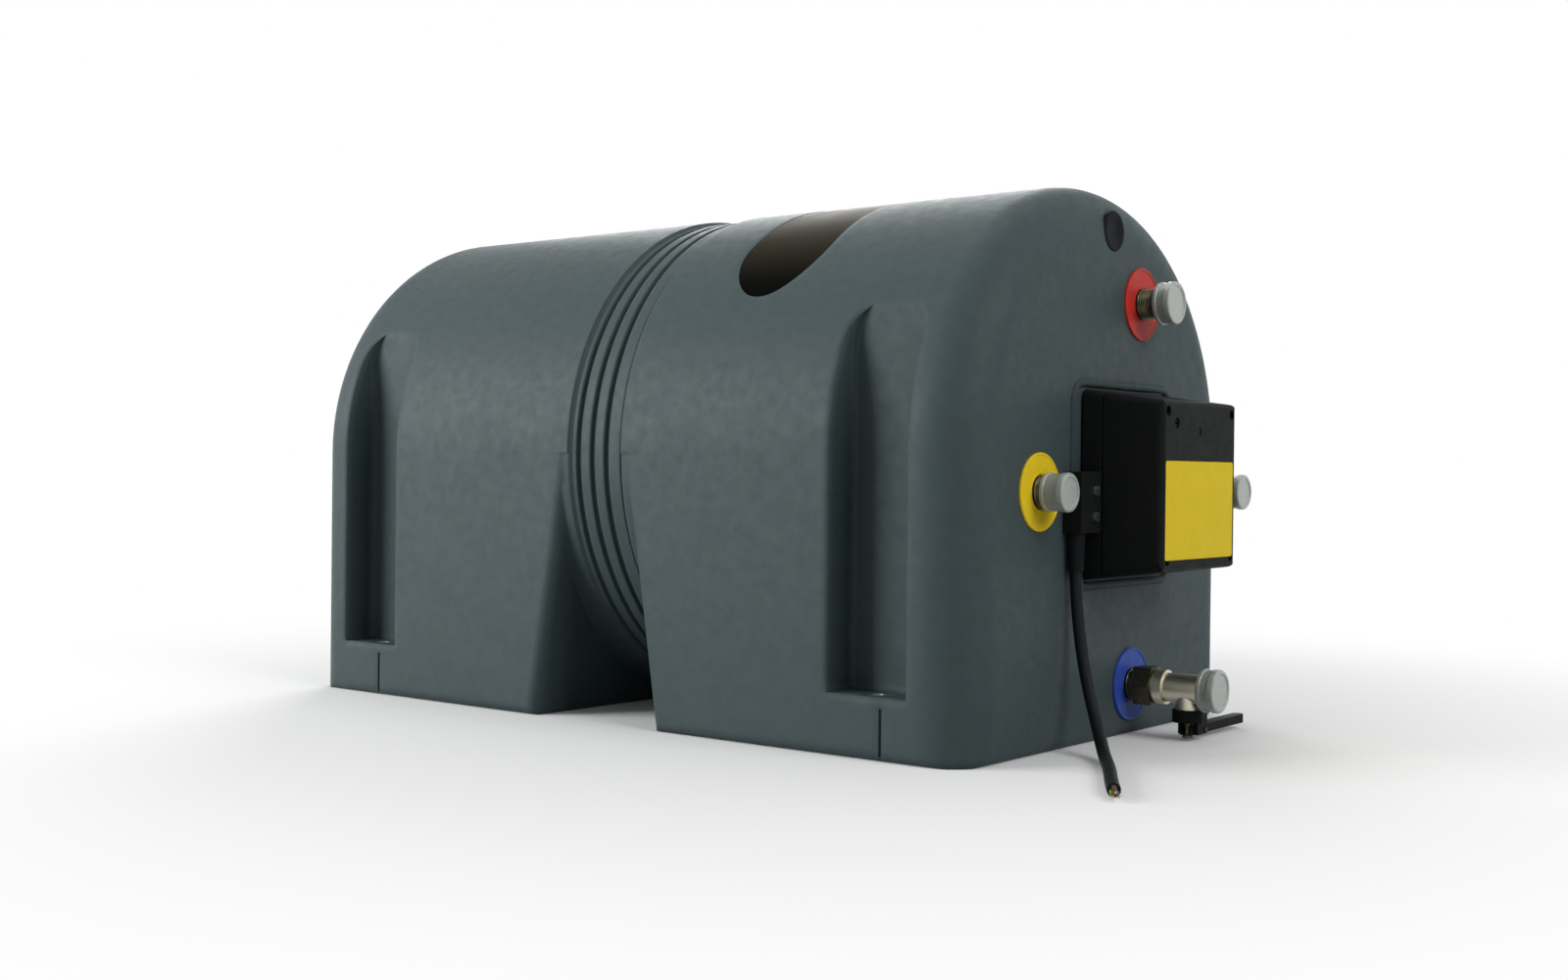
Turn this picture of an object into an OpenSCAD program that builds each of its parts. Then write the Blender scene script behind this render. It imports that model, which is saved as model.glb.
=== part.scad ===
// Caravan water heater: moulded casing on two feet, insulated tank, fittings and thermostat box.
// Millimetres. The floor is z = 0, the length lies along X and the fittings end is at +X.

/* [Casing] */
// Length of the casing
case_l = 660; // [560:1:800]
// Width across the flat sides
case_w = 390; // [372:1:440]
// Height of the tank axis above the floor
axis_z = 201; // [198:0.5:230]
// Rounding between the sides and the ends
end_r = 36; // [30:1:42]
// Wall of the moulding
wall = 5; // [4:0.5:6]
// Rounding along the floor edges of the feet
foot_edge_r = 6; // [3:0.5:10]
// Gap between the feet at the floor
gap_base = 122; // [100:1:150]
// Gap between the feet at the height of the axis
gap_axis = 56; // [50:1:70]
// Rounding of the upright edges beside the gap
gap_edge_r = 9; // [4:0.5:14]

/* [Waist] */
// Depth of the waist band below the casing
band_drop = 2.5; // [1:0.5:4]
// Length of the waist band
band_l = 50; // [48:1:56]
// Distance between the grooves of the band
groove_pitch = 14.3; // [12:0.1:15]
// Width of one groove
groove_w = 5; // [3:0.5:7]
// Depth of one groove
groove_drop = 3; // [1:0.5:3.5]
// How far the rear casing slides into the front one
spigot_l = 25; // [15:1:40]

/* [Side pockets] */
// Distance of the pockets from the middle of the casing
pocket_x = 254; // [230:1:262]
// Width of a pocket
pocket_w = 64; // [50:1:70]
// Depth of a pocket
pocket_d = 28; // [22:1:32]
// Height of the shelf that takes the foot bolt
shelf_z = 42; // [30:1:60]
// Height where the pocket ends
pocket_top = 306; // [280:1:320]
// Rounding of the upper corners of a pocket
pocket_r = 31; // [8:1:34]
// Radius of the bolt hole in a bush
bolt_r = 4.5; // [3:0.25:5.5]

/* [Tank] */
// Insulation between the side pockets and the tank
jacket_t = 12; // [10:0.5:20]
// Length of the tank
tank_l = 570; // [500:1:580]
// Sheet thickness of the tank
tank_t = 2; // [1:0.25:3]
// Rounding of the tank heads
head_r = 60; // [40:1:70]
// Distance of the heating coil from the tank wall
coil_gap = 42; // [36:1:60]
// Turns of the heating coil
coil_turns = 6; // [4:1:7]

/* [Pipe fittings] */
// Outer radius of a pipe nipple
nipple_r = 10.5; // [9:0.25:11]
// Bore radius of a pipe nipple
nipple_bore = 7.6; // [7:0.1:8]
// Radius of the coloured rings
ring_r = 26.5; // [20:0.5:28]
// Thickness of the coloured rings
ring_t = 1.2; // [0.6:0.1:2]
// Reach of the near coolant cap from the casing
near_cap_out = 24; // [20:1:30]
// Reach of the far coolant cap from the casing
far_cap_out = 43; // [36:1:50]
// Reach of the hot water cap from the casing
hot_cap_out = 29; // [25:1:36]
// Reach of the cold water cap from the casing
cold_cap_out = 71; // [68:1:80]
// Outer radius of the coolant caps
cap_r = 13.3; // [12.8:0.1:15]
// Outer radius of the water caps
water_cap_r = 15.5; // [14.5:0.25:17]
// Length of a cap on a nipple
cap_l = 19; // [15:0.5:19]
// Length of the cap on the safety valve
valve_cap_l = 13; // [12:0.5:13]

/* [Safety valve] */
// Width across the flats of the union nut
nut_af = 27; // [24:0.5:30]
// Radius of the valve body
valve_r = 10.5; // [10:0.25:12]
// Radius of the relief bonnet
bonnet_r = 11; // [9.5:0.25:12]
// Length of the test lever from its pin
lever_l = 72; // [50:1:80]
// Thickness of the test lever
lever_t = 6.4; // [5:0.2:7]

/* [Thermostat box] */
// Width of the box
box_w = 118; // [112:1:130]
// Height of the box
box_h = 118; // [112:1:130]
// Reach of the box from the casing
box_d = 60; // [56:1:70]
// Wall of the box
box_wall = 2.5; // [2:0.25:3.5]
// Rounding of the upright edges of the box
box_r = 7; // [4:0.5:10]
// Rounding of the front edges of the box
box_front_r = 4; // [2:0.5:6]
// Margin of the shallow recess around the box
pad_margin = 15; // [8:1:18]
// Width of the blank plate on the box
plate_w = 108; // [80:1:110]
// Height of the blank plate on the box
plate_h = 68; // [50:1:72]

/* [Supply lead] */
// Radius of the supply lead
lead_r = 4.3; // [3:0.1:4.6]

/* [Clearances] */
// Gap between pieces that only pass each other
clear = 0.3; // [0.2:0.05:0.5]
// Gap of a soldered or pushed-in joint
fit = 0.1; // [0.06:0.01:0.15]
// Running gap of a pin or stem
run = 0.06; // [0.04:0.01:0.1]

/* [Hidden] */
$fn = 64;

arch_r = case_w / 2;
half_l = case_l / 2;
gap_x = 4;
gap_lean = atan((gap_base - gap_axis) / 2 / axis_z);
band_x = gap_x - gap_axis / 2 + band_drop + 0.5;
seam_x = band_x + band_l;
band_r = arch_r - band_drop;
neck_lead = band_drop;
neck_r = band_r - wall - 1.5;
sag = 0.5;
lap = 0.1;
slot_w = 2.4;
slot_d = 1.4;
slot_shift = 12;
mouth_r = arch_r - sag;
spigot_r = mouth_r - wall - clear;
neck_in = gap_base / 2 + 26;
rim_r = wall - 1;
bush_y = arch_r - pocket_d / 2;
bush_r = bolt_r + 2;
boss_r = bush_r + 5;
far = 2 * case_l;

// The tank is as large as the side pockets and the cold pipe under it allow
cold_y = 30;
cold_z = 37;
cold_gap = 3.5;
cold_run = 100;
cold_bend = 20;
tank_r = min(arch_r - pocket_d - wall - jacket_t, axis_z - cold_z - nipple_r - cold_gap);
tank_half = tank_l / 2;
coil_r = tank_r - coil_gap;
coolant_drop = 24;
coolant_z = axis_z - coolant_drop;
nipple_in = 30;
hot_in = 37;
hot_y = 41;
hot_z = axis_z + tank_r - hot_in;
pickup_in = 62;
far_in = 19;
far_y = tank_r - far_in;
plug_drop = 33;
plug_y = -2;
plug_z = axis_z + arch_r - plug_drop;
plug_r = 13;

badge_x = 131;
badge_w = 76;
badge_l = 318;
badge_r = 37.5;

box_y = 16;
box_z = axis_z - 19;
pad_drop = 2;
pad_x = half_l - pad_drop;
box_x = half_l + box_d;
base_x = pad_x + 16;
gasket_t = 1.5;
cover_x = base_x + gasket_t;
socket_r = 26;
socket_bore = 21;
socket_x = half_l - 1;
box_top = box_z + box_h / 2;
adjust_drop = 16;
adjust_y = box_y - 38;
adjust_z = box_top - adjust_drop;
adjust_r = 3.6;
reset_drop = 21;
reset_y = box_y - 2;
reset_z = box_top - reset_drop;
reset_r = 2.9;
stat_in = 16;
stat_x = box_x - stat_in;
stat_t = 24;
stat_w = 57;
stat_h = 66;
stat_side = 44;
stat_gap = 4.5;
plate_gap = 8;
plate_z = box_z - box_h / 2 + plate_gap + plate_h / 2;
clamp_y = box_y - box_w / 2;
clamp_w = 29;
near_gap = 5.5;
near_y = clamp_y - clamp_w - near_gap - ring_r;
clamp_z = box_z - 33;
clamp_h = 42;
sleeve_l = 26;
lead_x = half_l + 6.5;
lead_y = clamp_y - 21;

valve_x = half_l + 14;
valve_end = half_l + cold_cap_out - 2;
branch_x = half_l + 46;
branch_r = 9;
bonnet_z = 13.5;
stem_r = 2.4;
pin_y = cold_y + 13;
lever_z = 7.6;
pin_r = 1.5;
fork_z = lever_z - lever_t / 2;

// Rounded barrel profile for a revolve: radius along X, length along Y
module barrel_profile(r, half, edge) {
    translate([0, -half])
        square([r - edge, 2 * half]);
    translate([0, edge - half])
        square([r, 2 * (half - edge)]);
    for (s = [-1, 1])
        translate([r - edge, s * (half - edge)])
            circle(edge);
}

// Turns a radius and length profile about the long axis of the object
module about_axis() {
    translate([0, 0, axis_z])
        rotate([0, 90, 0])
            rotate_extrude($fn = 180)
                children();
}

// The same turn, for the half above the axis only
module over_axis() {
    translate([0, 0, axis_z])
        rotate([0, 90, 0])
            rotate([0, 0, 90])
                rotate_extrude(angle = 180, $fn = 180)
                    children();
}

// Part of a profile plane from one length to another
module span(a, b, r0 = 0) {
    translate([r0, a])
        square([far, b - a]);
}

// Rectangle with rounded corners, centred
module soft_rect(w, h, r) {
    square([w - 2 * r, h], center = true);
    square([w, h - 2 * r], center = true);
    for (sx = [-1, 1], sy = [-1, 1])
        translate([sx * (w / 2 - r), sy * (h / 2 - r)])
            circle(r);
}

// Rectangle standing on y = 0 with its two lower corners rounded
module sled(w, h, r) {
    translate([-w / 2 + r, 0])
        square([w - 2 * r, h]);
    translate([-w / 2, r])
        square([w, h - r]);
    for (s = [-1, 1])
        translate([s * (w / 2 - r), r])
            circle(r);
}

// Rod along X at a height and side, from one length to another
module rod(r, a, b, y, z) {
    translate([a, y, z])
        rotate([0, 90, 0])
            cylinder(r = r, h = b - a);
}

// Tube along X
module tube(r, bore, a, b, y, z) {
    difference() {
        rod(r, a, b, y, z);
        rod(bore, a - 1, b + 1, y, z);
    }
}

// Soft rectangle in the end plane, from one length to another
module end_slab(w, h, r, a, b, y, z) {
    translate([a, y, z])
        rotate([90, 0, 90])
            linear_extrude(b - a)
                soft_rect(w, h, r);
}

// One foot block, inset from the outer faces; side is 1 at the fittings end and -1 at the rear.
// It stands in by a hair and reaches up into the arch, so that the two meet in clean edges.
module foot(side, inset) {
    edge = max(foot_edge_r - inset, 0.6);
    lean_edge = max(gap_edge_r - inset, 1.2);
    in = inset + lap;
    top = axis_z + 3;
    w = case_w - 2 * in;
    intersection() {
        translate([0, 0, inset])
            linear_extrude(top - inset)
                soft_rect(case_l - 2 * in, w, end_r - inset);
        translate([-half_l, 0, inset])
            rotate([90, 0, 90])
                linear_extrude(case_l)
                    sled(w, axis_z + 20, edge);
        translate([0, half_l, inset])
            rotate([90, 0, 0])
                linear_extrude(case_l)
                    sled(case_l - 2 * in, axis_z + 20, edge);
        translate([gap_x + side * (gap_base / 2 + inset / cos(gap_lean)), 0, 0])
            rotate([0, -side * gap_lean, 0])
                translate([side * case_l / 2, 0, -50])
                    linear_extrude(axis_z + 120)
                        soft_rect(case_l, w, lean_edge);
    }
}

// Side pockets of one casing, grown by a wall
module pockets(side, grow) {
    w = pocket_w + 2 * grow;
    h = pocket_top - shelf_z + 2 * grow;
    d = pocket_d + grow;
    r = min(pocket_r, pocket_w / 2 - 1) + grow;
    for (s = [-1, 1])
        translate([side * pocket_x, s * (arch_r - d / 2 + 10), shelf_z - grow])
            rotate([90, 0, 0])
                linear_extrude(d + 20, center = true)
                    translate([0, h])
                        mirror([0, 1])
                            sled(w, h, r);
}

// Upright pillars around the foot bolts of one casing
module pillars(side, r) {
    for (s = [-1, 1])
        translate([side * pocket_x, s * bush_y, -1])
            cylinder(r = r, h = shelf_z + 2);
}

// Narrow upright slots in the foot faces below the pockets of one casing
module foot_slots(side) {
    for (s = [-1, 1])
        translate([side * pocket_x + slot_shift - slot_w / 2, s * (arch_r - lap) - slot_d, -1])
            cube([slot_w, 2 * slot_d, shelf_z - 6]);
}

// Hollow of one casing, inset from its outer faces
module hollow(side, inset) {
    ahead = side > 0;
    difference() {
        union() {
            over_axis()
                intersection() {
                    barrel_profile(arch_r - inset, half_l - inset, end_r - inset);
                    span(ahead ? seam_x - 1 : -far, ahead ? far : band_x - neck_lead);
                }
            about_axis()
                translate([0, ahead ? seam_x - 2 : -neck_in])
                    square([ahead ? mouth_r - inset : neck_r,
                        ahead ? neck_in - seam_x + 2 : neck_in + seam_x + spigot_l + 1]);
            foot(side, inset);
        }
        pockets(side, inset);
        pillars(side, boss_r);
    }
}

// Cutter that rounds the rim of the front casing at a radius
module rim_cut(r) {
    translate([r - rim_r, seam_x])
        difference() {
            translate([0, -1])
                square([rim_r + 1, rim_r + 1]);
            translate([0, rim_r])
                circle(rim_r);
        }
}

// Profile of the rear casing: band, grooves and spigot cut from a plain profile
module waist_cut() {
    difference() {
        children();
        span(band_x, far, band_r);
        polygon([[arch_r + 1, band_x - neck_lead], [arch_r, band_x - neck_lead], [band_r, band_x],
            [arch_r + 1, band_x]]);
        span(seam_x - clear, far, spigot_r);
        for (i = [-1 : 1])
            span(i * groove_pitch - groove_w / 2, i * groove_pitch + groove_w / 2, band_r - groove_drop);
    }
}

// Tongue of the badge in plan
module badge_plan(grow) {
    translate([badge_x, 0])
        soft_rect(badge_w + 2 * grow, badge_l + 2 * grow, badge_r + grow);
}

// Shell of the badge between two radii
module badge_shell(grow, r0, r1) {
    intersection() {
        translate([0, 0, axis_z])
            linear_extrude(arch_r + 20)
                badge_plan(grow);
        about_axis()
            translate([r0, badge_x - badge_w])
                square([r1 - r0, 2 * badge_w]);
    }
}

module casing_front() {
    color("#4d585a")
        difference() {
            union() {
                over_axis()
                    difference() {
                        intersection() {
                            barrel_profile(arch_r, half_l, end_r);
                            span(seam_x, far);
                        }
                        rim_cut(arch_r);
                    }
                about_axis()
                    difference() {
                        translate([0, seam_x + clear])
                            square([mouth_r, neck_in - seam_x]);
                        translate([0, clear])
                            rim_cut(mouth_r);
                    }
                foot(1, 0);
            }
            hollow(1, wall);
            pockets(1, 0);
            foot_slots(1);
            pillars(1, bush_r + fit);
            badge_shell(clear, arch_r - 1.5, arch_r + 10);
            end_slab(box_w + 2 * pad_margin, box_h + 2 * pad_margin - 6, 12, pad_x, half_l + 5, box_y, box_z);
            rod(nipple_r + 0.8, half_l - 40, half_l + 5, hot_y, hot_z);
            rod(nipple_r + 0.8, half_l - 40, half_l + 5, cold_y, cold_z);
            rod(nipple_r + 0.8, half_l - 40, half_l + 5, near_y, coolant_z);
            rod(nipple_r + 0.8, half_l - 40, half_l + 5, far_y, coolant_z);
            rod(socket_r + 0.8, half_l - 40, half_l + 5, box_y, box_z);
            rod(plug_r + fit, half_l - 40, half_l + 5, plug_y, plug_z);
        }
}

module casing_rear() {
    color("#4a5557")
        difference() {
            union() {
                over_axis()
                    intersection() {
                        barrel_profile(arch_r, half_l, end_r);
                        span(-far, band_x - neck_lead);
                    }
                about_axis()
                    waist_cut()
                        translate([0, -neck_in])
                            square([mouth_r, neck_in + seam_x + spigot_l]);
                foot(-1, 0);
            }
            hollow(-1, wall);
            pockets(-1, 0);
            foot_slots(-1);
            pillars(-1, bush_r + fit);
        }
}

module foam_jacket() {
    gap = wall + clear;
    color("#e9dfb4")
        difference() {
            union() {
                over_axis()
                    barrel_profile(arch_r - gap, half_l - gap, end_r - gap);
                about_axis()
                    translate([0, -neck_in])
                        square([neck_r - 2 * clear, 2 * neck_in]);
                for (s = [-1, 1])
                    foot(s, gap);
            }
            about_axis()
                translate([neck_r - clear, band_x - neck_lead - clear])
                    square([far, neck_lead + band_l + spigot_l + 2 * clear]);
            for (s = [-1, 1]) {
                pockets(s, gap);
                pillars(s, boss_r + clear);
            }
            about_axis()
                barrel_profile(tank_r + clear, tank_half + clear, head_r);
            rod(nipple_r + clear, 150, far, hot_y, hot_z);
            rod(nipple_r + clear, 150, far, near_y, coolant_z);
            rod(nipple_r + clear, 150, far, far_y, coolant_z);
            cold_line(nipple_r + clear, 9);
            rod(socket_r + clear, 150, far, box_y, box_z);
            rod(plug_r + clear, half_l - 40, far, plug_y, plug_z);
        }
}

// Tank wall as a profile
module tank_profile() {
    difference() {
        barrel_profile(tank_r, tank_half, head_r);
        barrel_profile(tank_r - tank_t, tank_half - tank_t, head_r - tank_t);
    }
}

module tank_shell() {
    color("#c4c8c9")
        difference() {
            about_axis()
                intersection() {
                    tank_profile();
                    span(head_r - tank_half, tank_half - head_r);
                }
            translate([half_l - cold_run - cold_bend, cold_y, axis_z - tank_r - cold_bend])
                cylinder(r = nipple_r + 2 * fit, h = 4 * cold_bend);
        }
}

module tank_head_front() {
    color("#bfc4c5")
        difference() {
            about_axis()
                intersection() {
                    tank_profile();
                    span(tank_half - head_r, far);
                }
            rod(nipple_r + fit, 100, far, hot_y, hot_z);
            rod(nipple_r + fit, 100, far, near_y, coolant_z);
            rod(nipple_r + fit, 100, far, far_y, coolant_z);
            rod(socket_r + fit, 100, far, box_y, box_z);
        }
}

module tank_head_rear() {
    color("#bfc4c5")
        about_axis()
            intersection() {
                tank_profile();
                span(-far, head_r - tank_half);
            }
}

// Route of the coil: near leg, helix about the axis, far leg
coil_pipe = 6.6;
coil_steps = 20;
coil_in = tank_half - 40;
coil_start = 150;
coil_pitch = 44;
function coil_ring(a, x) = [x, coil_r * cos(a), axis_z + coil_r * sin(a)];
function mix(p, q, t) = p * (1 - t) + q * t;
near_leg = [tank_half - 16, near_y, coolant_z];
far_leg = [tank_half - 16, far_y, coolant_z];
coil_a0 = 180 + asin(coolant_drop / coil_r);
coil_total = 360 * coil_turns;
coil_end_x = coil_start - coil_pitch * coil_turns;
helix = [for (i = [0 : coil_steps * coil_turns])
    coil_ring(coil_a0 + i * 360 / coil_steps, coil_start - coil_pitch * i / coil_steps)];
lead_in = [for (t = [0, 0.35, 0.7]) mix(near_leg, helix[0] + [30, 0, 0], t)];
last = helix[len(helix) - 1];
return_path = [[coil_end_x - 30, last[1] + 6, last[2] - 14], [coil_end_x - 54, last[1] + 26, last[2] - 20],
    [coil_end_x - 62, -40, coolant_z - 10], [coil_end_x - 62, 0, coolant_z], [coil_end_x - 60, 60, coolant_z],
    [coil_end_x - 50, 104, coolant_z], [coil_end_x - 26, far_y - 5, coolant_z],
    [coil_end_x + 6, far_y, coolant_z], [0, far_y, coolant_z], [120, far_y, coolant_z], far_leg];
coil_route = concat(lead_in, [helix[0] + [14, 0, 0]], helix, return_path);

// Round pipe swept along a route, as one closed polyhedron
function unit(v) = v / norm(v);
function along(route, i) = unit(route[min(i + 1, len(route) - 1)] - route[max(i - 1, 0)]);
function side_of(t) = unit(cross(t, abs(t[0]) > 0.9 ? [0, 0, 1] : [1, 0, 0]));
function carry(route, i) = i == 0 ? side_of(along(route, 0))
    : let (s = carry(route, i - 1), t = along(route, i)) unit(s - t * (s * t));
module swept(route, r, sides) {
    n = len(route);
    rings = [for (i = [0 : n - 1])
        let (t = along(route, i), s = carry(route, i), b = cross(t, s))
        [for (k = [0 : sides - 1])
            route[i] + r * (cos(360 * k / sides) * s + sin(360 * k / sides) * b)]];
    points = [for (ring = rings) each ring];
    skin = [for (i = [0 : n - 2], k = [0 : sides - 1])
        let (a = i * sides + k, c = i * sides + (k + 1) % sides)
        each [[a, c, a + sides], [c, c + sides, a + sides]]];
    first_end = [for (k = [sides - 1 : -1 : 0]) k];
    last_end = [for (k = [0 : sides - 1]) (n - 1) * sides + k];
    polyhedron(points, concat(skin, [last_end, first_end]), convexity = 6);
}

module heating_coil() {
    color("#b9bcbd")
        swept(coil_route, coil_pipe, 10);
}

module coolant_nipple_near() {
    color("#b08d4a")
        tube(nipple_r, nipple_bore, tank_half - nipple_in, half_l + near_cap_out - 3, near_y, coolant_z);
}

module coolant_nipple_far() {
    color("#b08d4a")
        tube(nipple_r, nipple_bore, tank_half - nipple_in, half_l + far_cap_out - 3, far_y, coolant_z);
}

module hot_nipple() {
    color("#8d7a4c")
        tube(nipple_r, nipple_bore, tank_half - nipple_in, half_l + hot_cap_out - 3, hot_y, hot_z);
}

module hot_pickup() {
    r = nipple_bore - fit;
    bend = 16;
    x = tank_half - pickup_in;
    rise = axis_z + sqrt(pow(tank_r - tank_t, 2) - pow(hot_y + r, 2)) - hot_z - 4;
    color("#c9a25a")
        difference() {
            union() {
                rod(r, x, tank_half - 10, hot_y, hot_z);
                translate([x, hot_y, hot_z + bend])
                    rotate([90, 0, 0])
                        rotate([0, 0, 180])
                            rotate_extrude(angle = 90)
                                translate([bend, 0])
                                    circle(r);
                translate([x - bend, hot_y, hot_z + bend])
                    cylinder(r = r, h = rise - bend);
            }
            rod(r - 1.5, x, tank_half, hot_y, hot_z);
            translate([x, hot_y, hot_z + bend])
                rotate([90, 0, 0])
                    rotate([0, 0, 180])
                        rotate_extrude(angle = 90)
                            translate([bend, 0])
                                circle(r - 1.5);
            translate([x - bend, hot_y, hot_z + bend])
                cylinder(r = r - 1.5, h = rise);
        }
}

// Cold pipe line: run below the tank, bend and riser into the tank
module cold_line(r, grow) {
    bend = cold_bend;
    x = half_l - cold_run;
    top = axis_z - sqrt(pow(tank_r, 2) - pow(cold_y + nipple_r, 2)) + 12;
    rod(r, x, valve_x + 6 + grow, cold_y, cold_z);
    translate([x, cold_y, cold_z + bend])
        rotate([90, 0, 0])
            rotate([0, 0, 180])
                rotate_extrude(angle = 90)
                    translate([bend, 0])
                        circle(r);
    translate([x - bend, cold_y, cold_z + bend])
        cylinder(r = r, h = top - cold_z - bend + grow);
}

module cold_pipe() {
    color("#b08d4a")
        difference() {
            cold_line(nipple_r, 0);
            cold_line(nipple_bore, 1);
        }
}

// Places of the holes in the heater plug: two element legs, sensor pocket, anode stud
leg_y = 12;
leg_z = box_z + 8;
leg_r = 4;
pocket_hole_z = box_z + 1;
sensor_r = 4.5;
sensor_tip = 130;
sensor_end = 3;
sensor_lip = 13;
probe_gap = 10;
anode_drop = 14;
anode_z = box_z - anode_drop;
anode_r = 6.5;
anode_tip = 90;
stud_r = 3;
stud_in = 20;
plug_in = 40;
plug_hex_r = 30;
plug_hex_t = 8;

module heater_socket() {
    color("#aeb2b3")
        tube(socket_r, socket_bore, tank_half - tank_t - 6, socket_x, box_y, box_z);
}

module heater_plug() {
    color("#b5924c")
        difference() {
            union() {
                rod(socket_bore - fit, socket_x - plug_in, socket_x + 3, box_y, box_z);
                translate([socket_x + 2, box_y, box_z])
                    rotate([90, 0, 90])
                        linear_extrude(plug_hex_t)
                            circle(plug_hex_r, $fn = 6);
            }
            for (s = [-1, 1])
                rod(leg_r + fit, socket_x - 2 * plug_in, socket_x + plug_in, box_y + s * leg_y, leg_z);
            rod(sensor_r + fit, socket_x - 2 * plug_in, socket_x + plug_in, box_y, pocket_hole_z);
            rod(stud_r + fit, socket_x - 2 * plug_in, socket_x - stud_in, box_y, anode_z);
        }
}

module heater_gasket() {
    color("#3a3a38")
        tube(socket_r, socket_bore + fit, socket_x, socket_x + 2, box_y, box_z);
}

module heating_element() {
    tip = 40;
    color("#77797a") {
        for (s = [-1, 1])
            rod(leg_r, tip, socket_x + 20, box_y + s * leg_y, leg_z);
        translate([tip, box_y, leg_z])
            rotate([0, 0, 90])
                rotate_extrude(angle = 180)
                    translate([leg_y, 0])
                        circle(leg_r);
    }
}

module sensor_pocket() {
    color("#c3a76a")
        difference() {
            rod(sensor_r, sensor_tip, socket_x + sensor_lip, box_y, pocket_hole_z);
            rod(sensor_r - 1, sensor_tip + sensor_end, socket_x + 2 * sensor_lip, box_y, pocket_hole_z);
        }
}

module anode_rod() {
    color("#9fa3a4") {
        rod(anode_r, anode_tip, socket_x - plug_in - 2, box_y, anode_z);
        rod(stud_r, socket_x - plug_in - 4, socket_x - stud_in - 1, box_y, anode_z);
    }
}

module thermostat() {
    color("#d8d2c2")
        difference() {
            union() {
                rod(sensor_r - 1 - fit * 2, sensor_tip + probe_gap, stat_x - stat_t + 4, box_y, pocket_hole_z);
                translate([stat_x - stat_t, box_y - stat_side, box_top - box_wall - stat_gap - stat_h])
                    cube([stat_t, stat_w, stat_h]);
            }
            rod(adjust_r + run, stat_x - 9, stat_x + 5, adjust_y, adjust_z);
            rod(reset_r - 0.8, stat_x - 9, stat_x + 5, reset_y, reset_z);
        }
}

module terminal_block() {
    color("#e4e0d4")
        difference() {
            union() {
                translate([base_x - 4, box_y - 22, box_z - 48])
                    cube([20, 44, 22]);
                for (s = [-1, 1])
                    translate([pad_x + 3, box_y + 17 * s - 3, box_z - 47])
                        cube([base_x - pad_x - 6, 6, 7]);
            }
            for (i = [0 : 2])
                rod(3, base_x + 4, base_x + 30, box_y - 14 + 14 * i, box_z - 37);
        }
}

// Box outline with rounded front edges, grown inward by an inset
module box_form(inset, a, b) {
    intersection() {
        end_slab(box_w - 2 * inset, box_h - 2 * inset, box_r - inset, a, b, box_y, box_z);
        translate([b, box_y, box_z - box_h / 2 - 1])
            linear_extrude(box_h + 2)
                rotate([0, 0, 90])
                    sled(box_w - 2 * inset, b - a + 1, max(box_front_r - inset, 0.8));
        translate([b, box_y + box_w / 2 + 1, box_z])
            rotate([90, 0, 0])
                linear_extrude(box_w + 2)
                    rotate([0, 0, 90])
                        sled(box_h - 2 * inset, b - a + 1, max(box_front_r - inset, 0.8));
    }
}

// Corner places of the box, inset from its edges
module box_corners(inset) {
    for (sy = [-1, 1], sz = [-1, 1])
        translate([0, box_y + sy * (box_w / 2 - inset), box_z + sz * (box_h / 2 - inset)])
            children();
}

screw_in = 8;
screw_r = 2;
post_r = 4.5;

module box_base() {
    color("#1b1d1e")
        difference() {
            union() {
                difference() {
                    end_slab(box_w, box_h, box_r, pad_x, base_x, box_y, box_z);
                    end_slab(box_w - 2 * box_wall, box_h - 2 * box_wall, box_r - box_wall, pad_x + 3, base_x + 1,
                        box_y, box_z);
                }
                box_corners(screw_in)
                    translate([pad_x + 1, 0, 0])
                        rotate([0, 90, 0])
                            cylinder(r = post_r, h = base_x - pad_x - 1);
            }
            rod(socket_r + 6, pad_x - 5, base_x + 5, box_y, box_z);
            box_corners(screw_in)
                translate([pad_x + 4, 0, 0])
                    rotate([0, 90, 0])
                        cylinder(r = screw_r - 0.4, h = 40);
        }
}

module box_gasket() {
    color("#2a2a2a")
        difference() {
            end_slab(box_w - 0.6, box_h - 0.6, box_r - 0.3, base_x, base_x + gasket_t, box_y, box_z);
            end_slab(box_w - 20 - 2 * screw_in, box_h - 2 * box_wall - 2, 4, base_x - 1, base_x + 5, box_y, box_z);
            end_slab(box_w - 2 * box_wall - 2, box_h - 20 - 2 * screw_in, 4, base_x - 1, base_x + 5, box_y, box_z);
            box_corners(screw_in)
                translate([base_x - 1, 0, 0])
                    rotate([0, 90, 0])
                        cylinder(r = screw_r + clear, h = 5);
        }
}

module box_cover() {
    color("#161819")
        difference() {
            union() {
                difference() {
                    box_form(0, cover_x, box_x);
                    box_form(box_wall, cover_x - 1, box_x - box_wall);
                }
                intersection() {
                    box_form(0.5, cover_x, box_x);
                    box_corners(screw_in)
                        translate([cover_x, 0, 0])
                            rotate([0, 90, 0])
                                cylinder(r = post_r, h = box_x - cover_x);
                }
            }
            box_corners(screw_in)
                translate([cover_x - 1, 0, 0])
                    rotate([0, 90, 0])
                        cylinder(r = screw_r + clear, h = 100);
            box_corners(screw_in)
                translate([box_x - 5, 0, 0])
                    rotate([0, 90, 0])
                        cylinder(r = 3.6, h = 10);
            rod(adjust_r + clear, box_x - 10, box_x + 5, adjust_y, adjust_z);
            rod(reset_r + clear, box_x - 10, box_x + 5, reset_y, reset_z);
            end_slab(plate_w + 0.6, plate_h + 0.6, 2.3, box_x - 0.6, box_x + 1, box_y, plate_z);
        }
}

module box_plate() {
    color("#e3c028")
        end_slab(plate_w, plate_h, 2, box_x - 0.5, box_x - 0.1, box_y, plate_z);
}

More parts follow.
